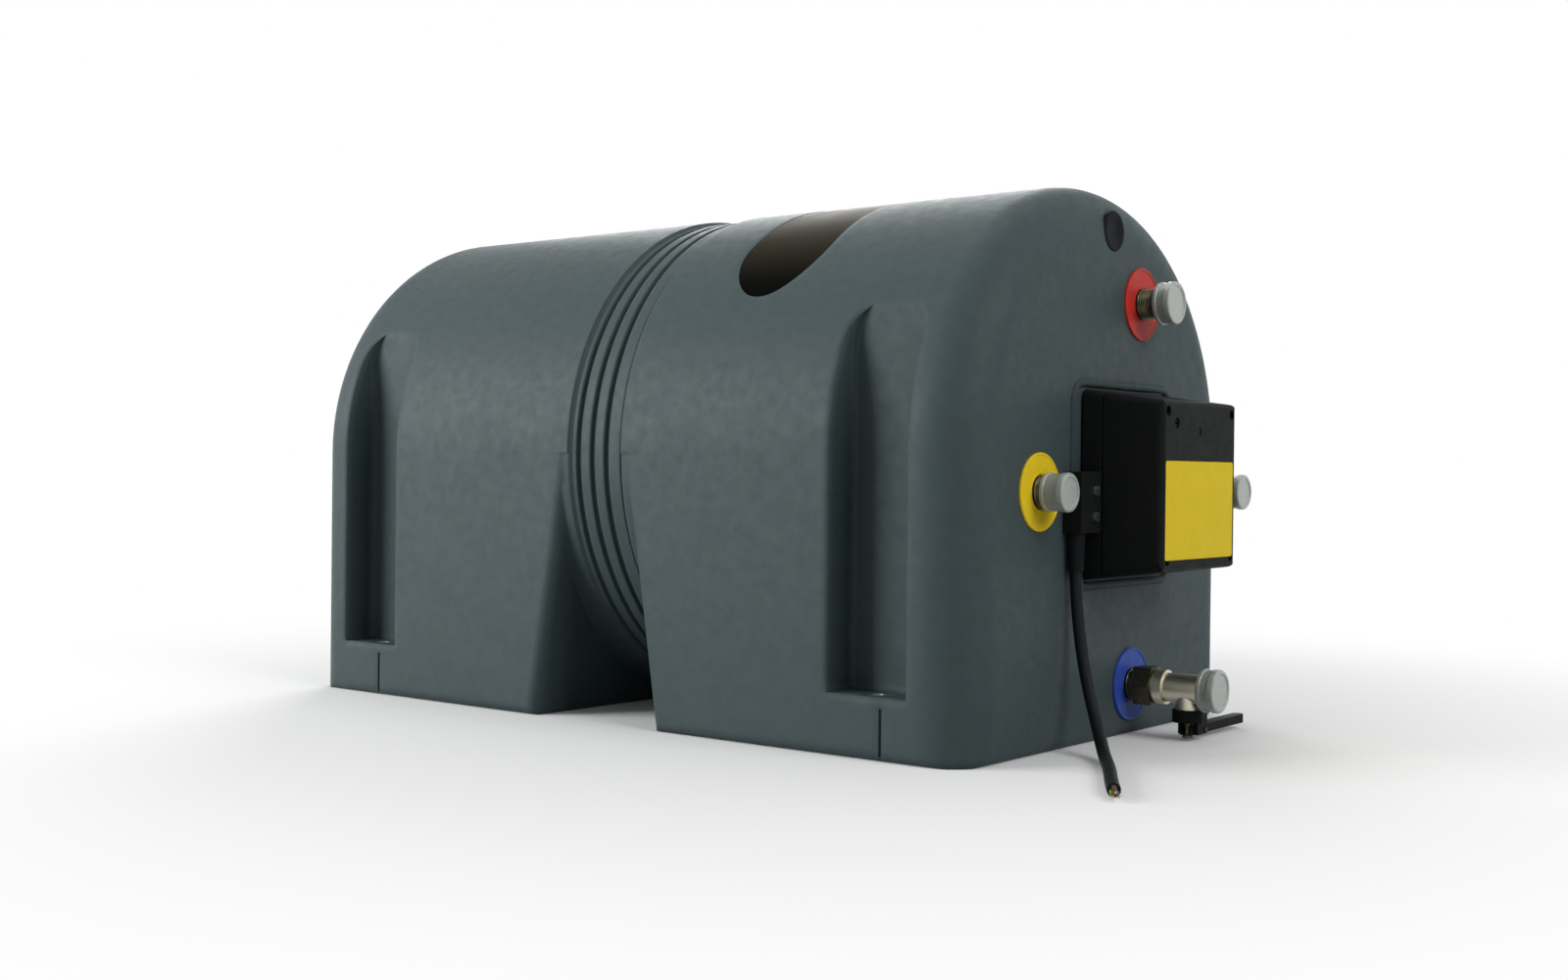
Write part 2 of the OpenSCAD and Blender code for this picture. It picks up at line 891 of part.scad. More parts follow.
module cover_screws() {
    color("#8b8f91")
        box_corners(screw_in)
            difference() {
                union() {
                    translate([base_x - 10, 0, 0])
                        rotate([0, 90, 0])
                            cylinder(r = screw_r - 0.5, h = 11);
                    translate([base_x + 0.5, 0, 0])
                        rotate([0, 90, 0])
                            cylinder(r = screw_r, h = box_x - 4 - base_x);
                    translate([box_x - 5 + 0.02, 0, 0])
                        rotate([0, 90, 0])
                            cylinder(r = 3.3, h = 2.4);
                }
                translate([box_x - 2, 0, 0])
                    cube([2.4, 5, 1], center = true);
                translate([box_x - 2, 0, 0])
                    cube([2.4, 1, 5], center = true);
            }
}

module adjuster() {
    color("#3b3d3e")
        difference() {
            rod(adjust_r, stat_x - 8, box_x - 1.2, adjust_y, adjust_z);
            translate([box_x - 1.2, adjust_y, adjust_z])
                cube([3, 8, 1.2], center = true);
        }
}

module reset_button() {
    color("#a8352c") {
        rod(reset_r, stat_x + 2.6, box_x - 0.6, reset_y, reset_z);
        rod(reset_r - 1, stat_x - 5, stat_x + 3, reset_y, reset_z);
    }
}

module lead_clamp() {
    color("#1d1f20")
        difference() {
            translate([half_l + 0.5, clamp_y - clamp_w, clamp_z])
                cube([14, clamp_w - fit, clamp_h]);
            translate([lead_x, lead_y, clamp_z - 1])
                cylinder(r = lead_r + 0.25, h = clamp_h - 6);
            for (z = [clamp_z + 11, clamp_z + 29])
                rod(1.7, half_l, half_l + 20, clamp_y - 9, z);
        }
}

module clamp_screws() {
    color("#c9cbc9")
        for (z = [clamp_z + 11, clamp_z + 29]) {
            difference() {
                rod(3.4, half_l + 14.5, half_l + 16.5, clamp_y - 9, z);
                translate([half_l + 16.5, clamp_y - 9, z])
                    cube([1.6, 8, 1], center = true);
            }
            rod(1.6, half_l + 1, half_l + 15, clamp_y - 9, z);
        }
}

// Route of the lead: out of the clamp, down the end of the casing, then over the floor to its cut end
lead_route = [[lead_x, lead_y, clamp_z + 32], [lead_x, lead_y, clamp_z + 14], [lead_x, lead_y, clamp_z - 4],
    [lead_x, lead_y, clamp_z - sleeve_l - 1], [lead_x + 1.4, lead_y - 0.6, clamp_z - 48],
    [lead_x + 4.4, lead_y - 1.6, clamp_z - 69], [lead_x + 8.6, lead_y - 3, clamp_z - 89],
    [lead_x + 14.2, lead_y - 5.6, clamp_z - 107], [lead_x + 21.8, lead_y - 11, clamp_z - 123],
    [lead_x + 31, lead_y - 20.6, clamp_z - 136], [lead_x + 41.5, lead_y - 35, clamp_z - 143.2],
    [lead_x + 53, lead_y - 53, lead_r + 0.2], [lead_x + 65, lead_y - 73, lead_r + 0.2],
    [lead_x + 77, lead_y - 94, lead_r + 0.2], [lead_x + 89, lead_y - 115.5, lead_r + 0.2],
    [lead_x + 101, lead_y - 136, lead_r + 0.2], [lead_x + 113, lead_y - 156, lead_r + 0.2]];

// Tapered strain relief under the clamp
module lead_sleeve() {
    color("#1b1d1e")
        translate([lead_x, lead_y, clamp_z - fit - sleeve_l])
            difference() {
                cylinder(r1 = lead_r + 0.9, r2 = lead_r + 1.8, h = sleeve_l);
                translate([0, 0, -1])
                    cylinder(r = lead_r + 0.25, h = sleeve_l + 2);
            }
}

module supply_lead() {
    color("#17191a")
        swept(lead_route, lead_r, 12);
}

// Coloured ring around a nipple
module marker(y, z) {
    tube(ring_r, nipple_r + 1, half_l, half_l + ring_t, y, z);
}

module hot_ring() {
    color("#c42b22")
        marker(hot_y, hot_z);
}

module cold_ring() {
    color("#2c56a8")
        marker(cold_y, cold_z);
}

module coolant_ring_near() {
    color("#d8b32c")
        marker(near_y, coolant_z);
}

module coolant_ring_far() {
    color("#d8b32c")
        marker(far_y, coolant_z);
}

// Push-on cap: a cup with a thicker foot ring, its tip at a reach from the casing
module cap(r, bore, length, reach, y, z) {
    tip = half_l + reach;
    difference() {
        union() {
            rod(r - 1, tip - length, tip - 1, y, z);
            rod(r - 2, tip - 2, tip, y, z);
            rod(r, tip - length, tip - length + 4, y, z);
            rod(r, tip - 6, tip - 2, y, z);
        }
        rod(bore, tip - length - 1, tip - 2.4, y, z);
    }
}

module hot_cap() {
    color("#aab5a8")
        cap(water_cap_r, nipple_r + clear, cap_l, hot_cap_out, hot_y, hot_z);
}

module coolant_cap_near() {
    color("#aab5a8")
        cap(cap_r, nipple_r + clear, cap_l, near_cap_out, near_y, coolant_z);
}

module coolant_cap_far() {
    color("#aab5a8")
        cap(cap_r, nipple_r + clear, cap_l, far_cap_out, far_y, coolant_z);
}

module cold_cap() {
    color("#aab5a8")
        cap(water_cap_r, valve_r + clear, valve_cap_l, cold_cap_out, cold_y, cold_z);
}

module valve_nut() {
    color("#b7b9b4")
        difference() {
            translate([half_l + 7, cold_y, cold_z])
                rotate([90, 0, 90])
                    linear_extrude(14)
                        circle(nut_af / sqrt(3), $fn = 6);
            rod(nipple_r + fit, half_l, valve_x, cold_y, cold_z);
            rod(valve_r + fit, valve_x, half_l + 30, cold_y, cold_z);
        }
}

module valve_body() {
    color("#c2c2ba")
        difference() {
            union() {
                rod(valve_r, valve_x + 6.2, valve_end - 1, cold_y, cold_z);
                rod(valve_r + 1.8, half_l + 23, half_l + 30, cold_y, cold_z);
                translate([branch_x, cold_y, bonnet_z + 4])
                    cylinder(r = branch_r, h = cold_z - bonnet_z - 4);
            }
            rod(6.5, valve_x, valve_end + 5, cold_y, cold_z);
            translate([branch_x, cold_y, bonnet_z + 3])
                cylinder(r = 6.4, h = cold_z - bonnet_z - 11);
            translate([branch_x, cold_y, bonnet_z + 3])
                cylinder(r = 3.4, h = cold_z - bonnet_z);
        }
}

module relief_bonnet() {
    color("#bdbdb4")
        difference() {
            union() {
                translate([branch_x, cold_y, bonnet_z])
                    cylinder(r = bonnet_r, h = 9);
                for (s = [-1, 1])
                    translate([branch_x + s * 6 - 1.5, cold_y, lever_z - 3])
                        cube([3, pin_y - cold_y + 3, bonnet_z - lever_z + 8]);
            }
            translate([branch_x, cold_y, bonnet_z + 4])
                cylinder(r = branch_r + fit, h = 20);
            translate([branch_x, cold_y, lever_z - 5])
                cylinder(r = stem_r + run, h = 20);
            translate([branch_x - 4.5, cold_y - 20, lever_z - 5])
                cube([9, 60, bonnet_z - lever_z + 5]);
            rod(pin_r + fit, branch_x - 20, branch_x + 20, pin_y, lever_z);
        }
}

module relief_stem() {
    color("#a9a9a2")
        translate([branch_x, cold_y, 0]) {
            translate([0, 0, fork_z - 1.6])
                cylinder(r = stem_r, h = cold_z - 9 - fork_z);
            translate([0, 0, fork_z - 2.2])
                cylinder(r = 3.8, h = 2);
            translate([0, 0, cold_z - 12.4])
                cylinder(r = 5.4, h = 4.3);
        }
}

spring_turns = 4;
spring_low = bonnet_z + 4.9;
spring_high = cold_z - 13.2;
spring_route = [for (i = [0 : 14 * spring_turns])
    [branch_x + 4.4 * cos(i * 360 / 14), cold_y + 4.4 * sin(i * 360 / 14),
        spring_low + (spring_high - spring_low) * i / (14 * spring_turns)]];

module relief_spring() {
    color("#8e9294")
        swept(spring_route, 0.6, 8);
}

module relief_lever() {
    w = 8.4;
    color("#1a1b1c")
        difference() {
            union() {
                translate([branch_x - w / 2, cold_y - 4.5, fork_z])
                    cube([w, pin_y - cold_y + 4.5 + lever_l, lever_t]);
                translate([branch_x, pin_y + lever_l, fork_z])
                    cylinder(r = w / 2, h = lever_t);
            }
            translate([branch_x - 2.9, cold_y - 10, fork_z - 1])
                cube([5.8, 14, lever_t + 2]);
            rod(pin_r + run, branch_x - 10, branch_x + 10, pin_y, lever_z);
        }
}

module lever_pin() {
    color("#8c8f8f")
        rod(pin_r, branch_x - 8.4, branch_x + 8.4, pin_y, lever_z);
}

module end_plug() {
    color("#202324")
        difference() {
            rod(plug_r, half_l - 22, half_l - 1.5, plug_y, plug_z);
            rod(plug_r - 3, half_l - 2.7, half_l, plug_y, plug_z);
        }
}

module badge_plate() {
    color("#101112")
        badge_shell(0, arch_r - 1.4, arch_r - 0.2);
}

module foot_bushes() {
    color("#9da1a2")
        for (side = [-1, 1], s = [-1, 1])
            translate([side * pocket_x, s * bush_y, 0])
                difference() {
                    cylinder(r = bush_r, h = shelf_z);
                    translate([0, 0, -1])
                        cylinder(r = bolt_r, h = shelf_z + 2);
                }
}

casing_front();
casing_rear();
foam_jacket();
tank_shell();
tank_head_front();
tank_head_rear();
heating_coil();
coolant_nipple_near();
coolant_nipple_far();
hot_nipple();
hot_pickup();
cold_pipe();
heater_socket();
heater_plug();
heater_gasket();
heating_element();
sensor_pocket();
anode_rod();
thermostat();
terminal_block();
box_base();
box_gasket();
box_cover();
box_plate();
cover_screws();
adjuster();
reset_button();
lead_clamp();
clamp_screws();
lead_sleeve();
supply_lead();
hot_ring();
cold_ring();
coolant_ring_near();
coolant_ring_far();
hot_cap();
cold_cap();
coolant_cap_near();
coolant_cap_far();
valve_nut();
valve_body();
relief_bonnet();
relief_stem();
relief_spring();
relief_lever();
lever_pin();
end_plug();
badge_plate();
foot_bushes();
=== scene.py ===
"""Dresses the caravan water heater: camera, studio, supply lead, fittings and finishes.

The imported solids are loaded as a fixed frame. Fine pieces that the solids leave plain are added to
it, every solid gets its finish, and a camera at the photograph's angle looks at it in a white
studio. Sizes are in millimetres unless a docstring says otherwise. X runs along the heater to its
fittings end, Y runs across it and Z goes up.
"""
from __future__ import annotations

import logging
import math
from dataclasses import dataclass, field, replace
from enum import Enum
from typing import Sequence

import bpy
from mathutils import Matrix, Vector


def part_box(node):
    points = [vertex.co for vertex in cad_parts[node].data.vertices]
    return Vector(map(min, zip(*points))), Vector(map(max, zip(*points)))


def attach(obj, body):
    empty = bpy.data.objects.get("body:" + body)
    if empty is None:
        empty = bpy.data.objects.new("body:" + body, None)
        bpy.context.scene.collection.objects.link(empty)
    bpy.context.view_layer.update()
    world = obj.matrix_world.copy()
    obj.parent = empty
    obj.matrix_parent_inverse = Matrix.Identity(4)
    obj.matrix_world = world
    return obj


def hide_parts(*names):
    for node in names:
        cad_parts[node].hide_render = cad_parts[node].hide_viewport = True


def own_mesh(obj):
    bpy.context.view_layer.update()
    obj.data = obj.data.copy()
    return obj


LOG = logging.getLogger("water_heater")

Tree = bpy.types.NodeTree
Socket = bpy.types.NodeSocket
Material = bpy.types.Material
Object = bpy.types.Object
Point = tuple[float, float, float]
Pair = tuple[float, float]

# One millimetre in Blender's metres.
MM = 0.001
# Body that carries every piece that doesn't move.
BODY = "heater"
# Radius of the half-inch pipe ends.
PIPE_R = 10.5
# Depth to which trim reaches into the face that it stands on.
SINK = 0.3
# Radius at which a turned face closes on its own line.
PIN = 0.05
# Edges that turn by more than this stay crisp on a smooth piece.
CRISP_DEG = 35.0
# Part of a noise pattern that holds its whole change from one colour to the other.
MOTTLE_BAND = (0.3, 0.7)
# Cosines between rounded and true normal where an edge starts to take its painted highlight and
# wear, and takes them fully.
EDGE_HIGHLIGHT_COSINES = (0.99, 0.8)
# Sockets of a colour Mix node: two colours go in, and the mixed colour comes out.
MIX_FIRST, MIX_SECOND, MIX_OUT = 6, 7, 2
WHITE = (1.0, 1.0, 1.0, 1.0)

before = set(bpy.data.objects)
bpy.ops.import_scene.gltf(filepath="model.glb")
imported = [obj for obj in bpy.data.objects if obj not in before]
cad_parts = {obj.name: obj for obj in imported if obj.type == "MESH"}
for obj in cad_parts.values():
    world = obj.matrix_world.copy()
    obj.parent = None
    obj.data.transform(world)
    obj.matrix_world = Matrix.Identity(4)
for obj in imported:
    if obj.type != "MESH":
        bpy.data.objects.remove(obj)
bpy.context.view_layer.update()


def linear(hex_code: str) -> tuple[float, float, float, float]:
    """Turns an sRGB hex colour into linear values.

    Args:
        hex_code: six hex digits with a leading hash.

    Returns:
        Red, green and blue in linear light, with alpha 1.
    """
    parts = [int(hex_code[i:i + 2], 16) / 255 for i in (1, 3, 5)]
    lin = [c / 12.92 if c <= 0.04045 else ((c + 0.055) / 1.055) ** 2.4 for c in parts]
    return (lin[0], lin[1], lin[2], 1.0)


def per_mm(size_mm: float) -> float:
    """Gives the texture scale whose pattern repeats about every size_mm millimetres."""
    return 1000.0 / size_mm


def add_node(tree: Tree, kind: str, links: dict[str | int, Socket] | None = None,
             values: dict[str | int, object] | None = None, **settings: object) -> bpy.types.Node:
    """Adds one shader node with its settings, input values and incoming links.

    Args:
        tree: node tree that takes the node.
        kind: Blender's node type name.
        links: input socket name or number to a source socket.
        values: input socket name or number to a fixed value.
        settings: attributes of the node.

    Returns:
        The new node.
    """
    node = tree.nodes.new(kind)
    for name, value in settings.items():
        setattr(node, name, value)
    for name, value in (values or {}).items():
        node.inputs[name].default_value = value
    for name, source in (links or {}).items():
        tree.links.new(source, node.inputs[name])
    return node


def empty_tree(owner: Material | bpy.types.World) -> Tree:
    """Turns on an owner's nodes and empties them.

    Args:
        owner: material or world.

    Returns:
        The empty node tree.
    """
    owner.use_nodes = True
    owner.node_tree.nodes.clear()
    return owner.node_tree


def ray_share(tree: Tree, rays: Sequence[str]) -> Socket:
    """Tells some kinds of light ray from the rest.

    Args:
        tree: node tree that takes the nodes.
        rays: names of the Light Path outputs.

    Returns:
        A value of 1 for the named rays and 0 for others.
    """
    path = add_node(tree, "ShaderNodeLightPath")
    share = path.outputs[rays[0]]
    for ray in rays[1:]:
        either = add_node(tree, "ShaderNodeMath", {0: share, 1: path.outputs[ray]},
                          operation="MAXIMUM")
        share = either.outputs[0]
    return share


class Sheen(Enum):
    """How a finish meets the light."""

    SOLID = "solid"
    METAL = "metal"
    MILKY = "milky"


SHEEN_VALUES: dict[Sheen, dict[str, float | Point]] = {
    Sheen.SOLID: {},
    Sheen.METAL: {"Metallic": 1.0},
    Sheen.MILKY: {"Transmission Weight": 0.12, "Subsurface Weight": 0.4,
                  "Subsurface Radius": (0.004, 0.004, 0.004)},
}


@dataclass(frozen=True)
class Finish:
    """A surface finish: what the material is and how its surface was made.

    Attributes:
        name: common name of the material.
        colour: its sRGB colour.
        second: sRGB colour that it is mottled with.
        roughness: mean roughness.
        mottle_mm: size of the mottle.
        grain_mm: size of the surface grain.
        grain_depth_mm: depth of the grain.
        rough_spread: how far the roughness strays from the mean.
        sheen: how it meets the light.
        gloss: specular level.
        edge_mm: radius to which edges are shaded, or 0 for none.
        cove_mm: that radius away from the waist, or 0 for the same all over.
        waist_mm: distance from the middle where that change starts; it ends at twice as far.
        edge_highlight_wear: sRGB colour that lightens edges, a painted highlight along with wear, or
            nothing.
        crown: sRGB colour over the crown of the casing, or nothing.
        crown_mm: heights where the crown's colour starts and is full.
        stretch: scale of the pattern along each axis.
    """

    name: str
    colour: str
    second: str
    roughness: float
    mottle_mm: float
    grain_mm: float
    grain_depth_mm: float
    rough_spread: float = 0.05
    sheen: Sheen = Sheen.SOLID
    gloss: float = 0.4
    edge_mm: float = 0.0
    cove_mm: float = 0.0
    waist_mm: float = 0.0
    edge_highlight_wear: str = ""
    crown: str = ""
    crown_mm: Pair = (0.0, 1.0)
    stretch: Point = (1.0, 1.0, 1.0)

    def crowned(self, tree: Tree, place: Socket, colour: Socket) -> Socket:
        """Grades the colour with height, up to the crown of the casing.

        Args:
            tree: node tree of the material.
            place: point on the object.
            colour: colour at the low end.

        Returns:
            The graded colour.
        """
        axes = add_node(tree, "ShaderNodeSeparateXYZ", {"Vector": place})
        start, full = self.crown_mm
        rise = add_node(tree, "ShaderNodeMapRange", {"Value": axes.outputs["Z"]},
                        {"From Min": start * MM, "From Max": full * MM},
                        interpolation_type="SMOOTHSTEP")
        graded = add_node(tree, "ShaderNodeMix",
                          {"Factor": rise.outputs["Result"], MIX_FIRST: colour},
                          {MIX_SECOND: linear(self.crown)}, data_type="RGBA")
        return graded.outputs[MIX_OUT]

    def softened(self, tree: Tree, place: Socket) -> Socket:
        """Rounds the shading of edges, with wider coves away from the waist if there are any.

        Args:
            tree: node tree of the material.
            place: point on the object.

        Returns:
            The rounded normal.
        """
        soft = add_node(tree, "ShaderNodeBevel", values={"Radius": self.edge_mm * MM}, samples=6)
        if self.cove_mm:
            axes = add_node(tree, "ShaderNodeSeparateXYZ", {"Vector": place})
            away = add_node(tree, "ShaderNodeMath", {0: axes.outputs["X"]}, operation="ABSOLUTE")
            radius = add_node(tree, "ShaderNodeMapRange", {"Value": away.outputs[0]},
                              {"From Min": self.waist_mm * MM, "From Max": 2.0 * self.waist_mm * MM,
                               "To Min": self.edge_mm * MM, "To Max": self.cove_mm * MM})
            tree.links.new(radius.outputs["Result"], soft.inputs["Radius"])
        return soft.outputs["Normal"]

    def paint_edge_highlight_and_wear(self, tree: Tree, soft: Socket, mottle: Socket, colour: Socket) -> Socket:
        """Lightens the edges in patches: a painted highlight where rounded edges catch the light,
        along with wear from handling.

        Args:
            tree: node tree of the material.
            soft: rounded normal.
            mottle: pattern that breaks up the wear.
            colour: colour of the surface.

        Returns:
            The colour with its painted edge highlights and wear.
        """
        flat = add_node(tree, "ShaderNodeNewGeometry")
        turn = add_node(tree, "ShaderNodeVectorMath", {0: soft, 1: flat.outputs["Normal"]},
                        operation="DOT_PRODUCT")
        edge = add_node(tree, "ShaderNodeMapRange", {"Value": turn.outputs["Value"]},
                        {"From Min": EDGE_HIGHLIGHT_COSINES[0], "From Max": EDGE_HIGHLIGHT_COSINES[1]})
        patch = add_node(tree, "ShaderNodeMath", {0: edge.outputs["Result"], 1: mottle},
                         operation="MULTIPLY")
        mixed = add_node(tree, "ShaderNodeMix", {"Factor": patch.outputs[0], MIX_FIRST: colour},
                         {MIX_SECOND: linear(self.edge_highlight_wear)}, data_type="RGBA")
        return mixed.outputs[MIX_OUT]

    def build(self) -> Material:
        """Makes the material.

        Returns:
            A node material with mottled colour, varied roughness and a fine bump.
        """
        mat = bpy.data.materials.new(self.name)
        tree = empty_tree(mat)
        place = add_node(tree, "ShaderNodeTexCoord").outputs["Object"]
        spread = add_node(tree, "ShaderNodeMapping", {"Vector": place}, {"Scale": self.stretch})
        noise = add_node(tree, "ShaderNodeTexNoise", {"Vector": spread.outputs[0]},
                         {"Scale": per_mm(self.mottle_mm), "Detail": 4.0, "Roughness": 0.6})
        mottle = noise.outputs["Fac"]
        grain = add_node(tree, "ShaderNodeTexNoise", {"Vector": spread.outputs[0]},
                         {"Scale": per_mm(self.grain_mm), "Detail": 2.0})
        tint = add_node(tree, "ShaderNodeValToRGB", {"Fac": mottle})
        for k, shade in enumerate((self.second, self.colour)):
            tint.color_ramp.elements[k].position = MOTTLE_BAND[k]
            tint.color_ramp.elements[k].color = linear(shade)
        rough = add_node(tree, "ShaderNodeMapRange", {"Value": mottle},
                         {"From Min": MOTTLE_BAND[0], "From Max": MOTTLE_BAND[1],
                          "To Min": self.roughness + self.rough_spread,
                          "To Max": self.roughness - self.rough_spread})
        bump = add_node(tree, "ShaderNodeBump", {"Height": grain.outputs["Fac"]},
                        {"Strength": 1.0, "Distance": self.grain_depth_mm * MM})
        colour = tint.outputs["Color"]
        if self.crown:
            colour = self.crowned(tree, place, colour)
        if self.edge_mm:
            soft = self.softened(tree, place)
            tree.links.new(soft, bump.inputs["Normal"])
            # Edges lightened in patches: a painted highlight along with wear.
            if self.edge_highlight_wear:
                colour = self.paint_edge_highlight_and_wear(tree, soft, mottle, colour)
        shader = add_node(tree, "ShaderNodeBsdfPrincipled",
                          {"Base Color": colour, "Roughness": rough.outputs["Result"],
                           "Normal": bump.outputs["Normal"]},
                          {"Specular IOR Level": self.gloss, **SHEEN_VALUES[self.sheen]})
        add_node(tree, "ShaderNodeOutputMaterial", {"Surface": shader.outputs["BSDF"]})
        return mat


Mats = dict[Finish, Material]

# A grain finer than about 0.6 mm doesn't show in the render, so drawn, turned, extruded and
# spark-eroded surfaces have theirs drawn at 0.6 to 1 mm.

# Rotomoulded polyethylene: powder melted in a turning mould leaves a soft skin with a faint orange
# peel and wide coves.
# The casing's edges are lightened in patches: a painted highlight along with wear.
CASING = Finish("rotomoulded_polyethylene", "#3e4b4d", "#3a4749", roughness=0.55, mottle_mm=9.0,
                grain_mm=1.3, grain_depth_mm=0.05, gloss=0.2, edge_mm=3.5, cove_mm=9.0,
                waist_mm=40.0, edge_highlight_wear="#475457")
# Sprayed polyurethane foam: pale, open and matt.
FOAM = Finish("polyurethane_foam", "#e9dfb4", "#d9cb98", roughness=0.9, mottle_mm=12.0,
              grain_mm=2.0, grain_depth_mm=0.4)
# Drawn stainless sheet and bar: fine lines along the drawing direction.
STEEL = Finish("drawn_stainless_steel", "#c2c4c4", "#a9acad", roughness=0.34, rough_spread=0.08,
               mottle_mm=8.0, grain_mm=0.6, grain_depth_mm=0.01, sheen=Sheen.METAL,
               stretch=(0.15, 1.0, 1.0))
# Blackened steel screws of the box: dark, with a faint oily sheen.
BLACK_STEEL = Finish("blackened_steel", "#34373a", "#2a2d2f", roughness=0.4, rough_spread=0.06,
                     mottle_mm=4.0, grain_mm=0.6, grain_depth_mm=0.01, sheen=Sheen.METAL)
# Turned brass inside the tank: clean and warm.
BRASS = Finish("turned_brass", "#b08f4c", "#8d7648", roughness=0.36, rough_spread=0.1,
               mottle_mm=6.0, grain_mm=0.7, grain_depth_mm=0.02, sheen=Sheen.METAL)
# Brass of the outer pipe ends and the valve's nut: dulled dark by handling and sealing paste, and
# darker still as painted shade for the shadow under the caps; the relief stem and lever pin wear it
# as painted shade too.
DARK_BRASS = Finish("tarnished_brass", "#5f5a46", "#383930", roughness=0.42, rough_spread=0.1,
                    mottle_mm=6.0, grain_mm=0.7, grain_depth_mm=0.03, sheen=Sheen.METAL)
# Nickel-plated brass casting: bright, over a soft cast skin.
NICKEL = Finish("nickel_plated_brass", "#dad4c0", "#d0cab5", roughness=0.36, rough_spread=0.04,
                mottle_mm=9.0, grain_mm=0.9, grain_depth_mm=0.02, sheen=Sheen.METAL)
# Cast magnesium rod: dull grey metal.
MAGNESIUM = Finish("cast_magnesium", "#a4a8a9", "#868b8d", roughness=0.6, rough_spread=0.08,
                   mottle_mm=7.0, grain_mm=1.0, grain_depth_mm=0.05, sheen=Sheen.METAL)
# Moulded black ABS with a spark-eroded texture: nearly no shine, edges a little greyed, a painted
# highlight along with wear.
BLACK_ABS = Finish("moulded_black_abs", "#1d1f1f", "#191b1b", roughness=0.5, mottle_mm=9.0,
                   grain_mm=0.8, grain_depth_mm=0.03, gloss=0.04, edge_mm=0.8, edge_highlight_wear="#2a2d2d")
# Lacquered film of the inlay: near black at its low ends, graded to a dark olive over the crown.
BADGE = Finish("lacquered_black_film", "#080a08", "#060706", roughness=0.4, rough_spread=0.04,
               mottle_mm=30.0, grain_mm=1.2, grain_depth_mm=0.005, gloss=0.005, crown="#3f3b2e",
               crown_mm=(318.0, 392.0))
# Moulded phenolic of the thermostat and terminal block: pale and smooth.
PHENOLIC = Finish("moulded_phenolic", "#ddd7c8", "#cdc5b2", roughness=0.5, mottle_mm=6.0,
                  grain_mm=0.8, grain_depth_mm=0.02)
# Vinyl plate: plain yellow, slightly glossy.
YELLOW_VINYL = Finish("plain_yellow_vinyl", "#eccf1e", "#e6c91d", roughness=0.42, rough_spread=0.04,
                      mottle_mm=15.0, grain_mm=1.2, grain_depth_mm=0.01, gloss=0.08)
# Stamped polystyrene rings in the colours of the water circuits: even, with a low shine.
RED_RING = Finish("red_ring_polystyrene", "#cc3a30", "#c2352c", roughness=0.42, mottle_mm=9.0,
                  grain_mm=0.9, grain_depth_mm=0.02, gloss=0.15)
BLUE_RING = replace(RED_RING, name="blue_ring_polystyrene", colour="#3655b2", second="#314ea6")
YELLOW_RING = replace(RED_RING, name="yellow_ring_polystyrene", colour="#f6d62a", second="#edcd28")
# Soft polyethylene caps: milky, grey-green, letting a little light through.
CAP = Finish("milky_polyethylene", "#a9b1ab", "#a1a9a3", roughness=0.3, mottle_mm=9.0,
             grain_mm=1.0, grain_depth_mm=0.02, sheen=Sheen.MILKY)
# Extruded PVC sheath of the lead: dull black.
LEAD = Finish("black_pvc_sheath", "#1a1f20", "#161a1b", roughness=0.5, rough_spread=0.06,
              mottle_mm=6.0, grain_mm=0.9, grain_depth_mm=0.02, gloss=0.1)
# Extruded core insulation at the cut end of the lead: smooth, with a low shine.
CORE_BROWN = Finish("brown_pvc_core", "#6a3d22", "#5c351e", roughness=0.45, mottle_mm=4.0,
                    grain_mm=0.8, grain_depth_mm=0.01)
CORE_BLUE = replace(CORE_BROWN, name="blue_pvc_core", colour="#2b5aa6", second="#264f92")
CORE_GREEN = replace(CORE_BROWN, name="green_yellow_pvc_core", colour="#7f9a2e", second="#4f7d33",
                     mottle_mm=5.0)
# Twisted copper strands, tinned: pale, warm metal.
COPPER = Finish("tinned_copper_strand", "#c8a98c", "#a98867", roughness=0.34, rough_spread=0.08,
                mottle_mm=1.5, grain_mm=0.6, grain_depth_mm=0.05, sheen=Sheen.METAL)
# Moulded rubber of plug and seals: dark and dull.
RUBBER = Finish("moulded_rubber", "#191c1e", "#16181a", roughness=0.62, rough_spread=0.06,
                mottle_mm=7.0, grain_mm=0.9, grain_depth_mm=0.03, gloss=0.06)

CORES = (CORE_BROWN, CORE_BLUE, CORE_GREEN)

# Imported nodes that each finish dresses.
FINISH_OF: dict[Finish, tuple[str, ...]] = {
    CASING: ("casing_front", "casing_rear"),
    FOAM: ("foam_jacket",),
    STEEL: ("tank_shell", "tank_head_front", "tank_head_rear", "heating_coil", "heater_socket",
            "heating_element", "clamp_screws", "relief_spring", "foot_bushes"),
    BLACK_STEEL: ("cover_screws",),
    BRASS: ("hot_pickup", "heater_plug", "sensor_pocket"),
    # The dark brass is partly painted shade: the relief stem and lever pin take it for the shade
    # they stand in.
    DARK_BRASS: ("coolant_nipple_near", "coolant_nipple_far", "hot_nipple", "cold_pipe",
                 "valve_nut", "relief_stem", "lever_pin"),
    NICKEL: ("valve_body",),
    MAGNESIUM: ("anode_rod",),
    BLACK_ABS: ("box_base", "box_cover", "lead_clamp", "adjuster", "reset_button", "relief_bonnet",
                "relief_lever"),
    BADGE: ("badge_plate",),
    PHENOLIC: ("thermostat", "terminal_block"),
    YELLOW_VINYL: ("box_plate",),
    RED_RING: ("hot_ring",),
    BLUE_RING: ("cold_ring",),
    YELLOW_RING: ("coolant_ring_near", "coolant_ring_far"),
    CAP: ("hot_cap", "cold_cap", "coolant_cap_near", "coolant_cap_far"),
    LEAD: ("supply_lead",),
    RUBBER: ("heater_gasket", "box_gasket", "end_plug", "lead_sleeve"),
}


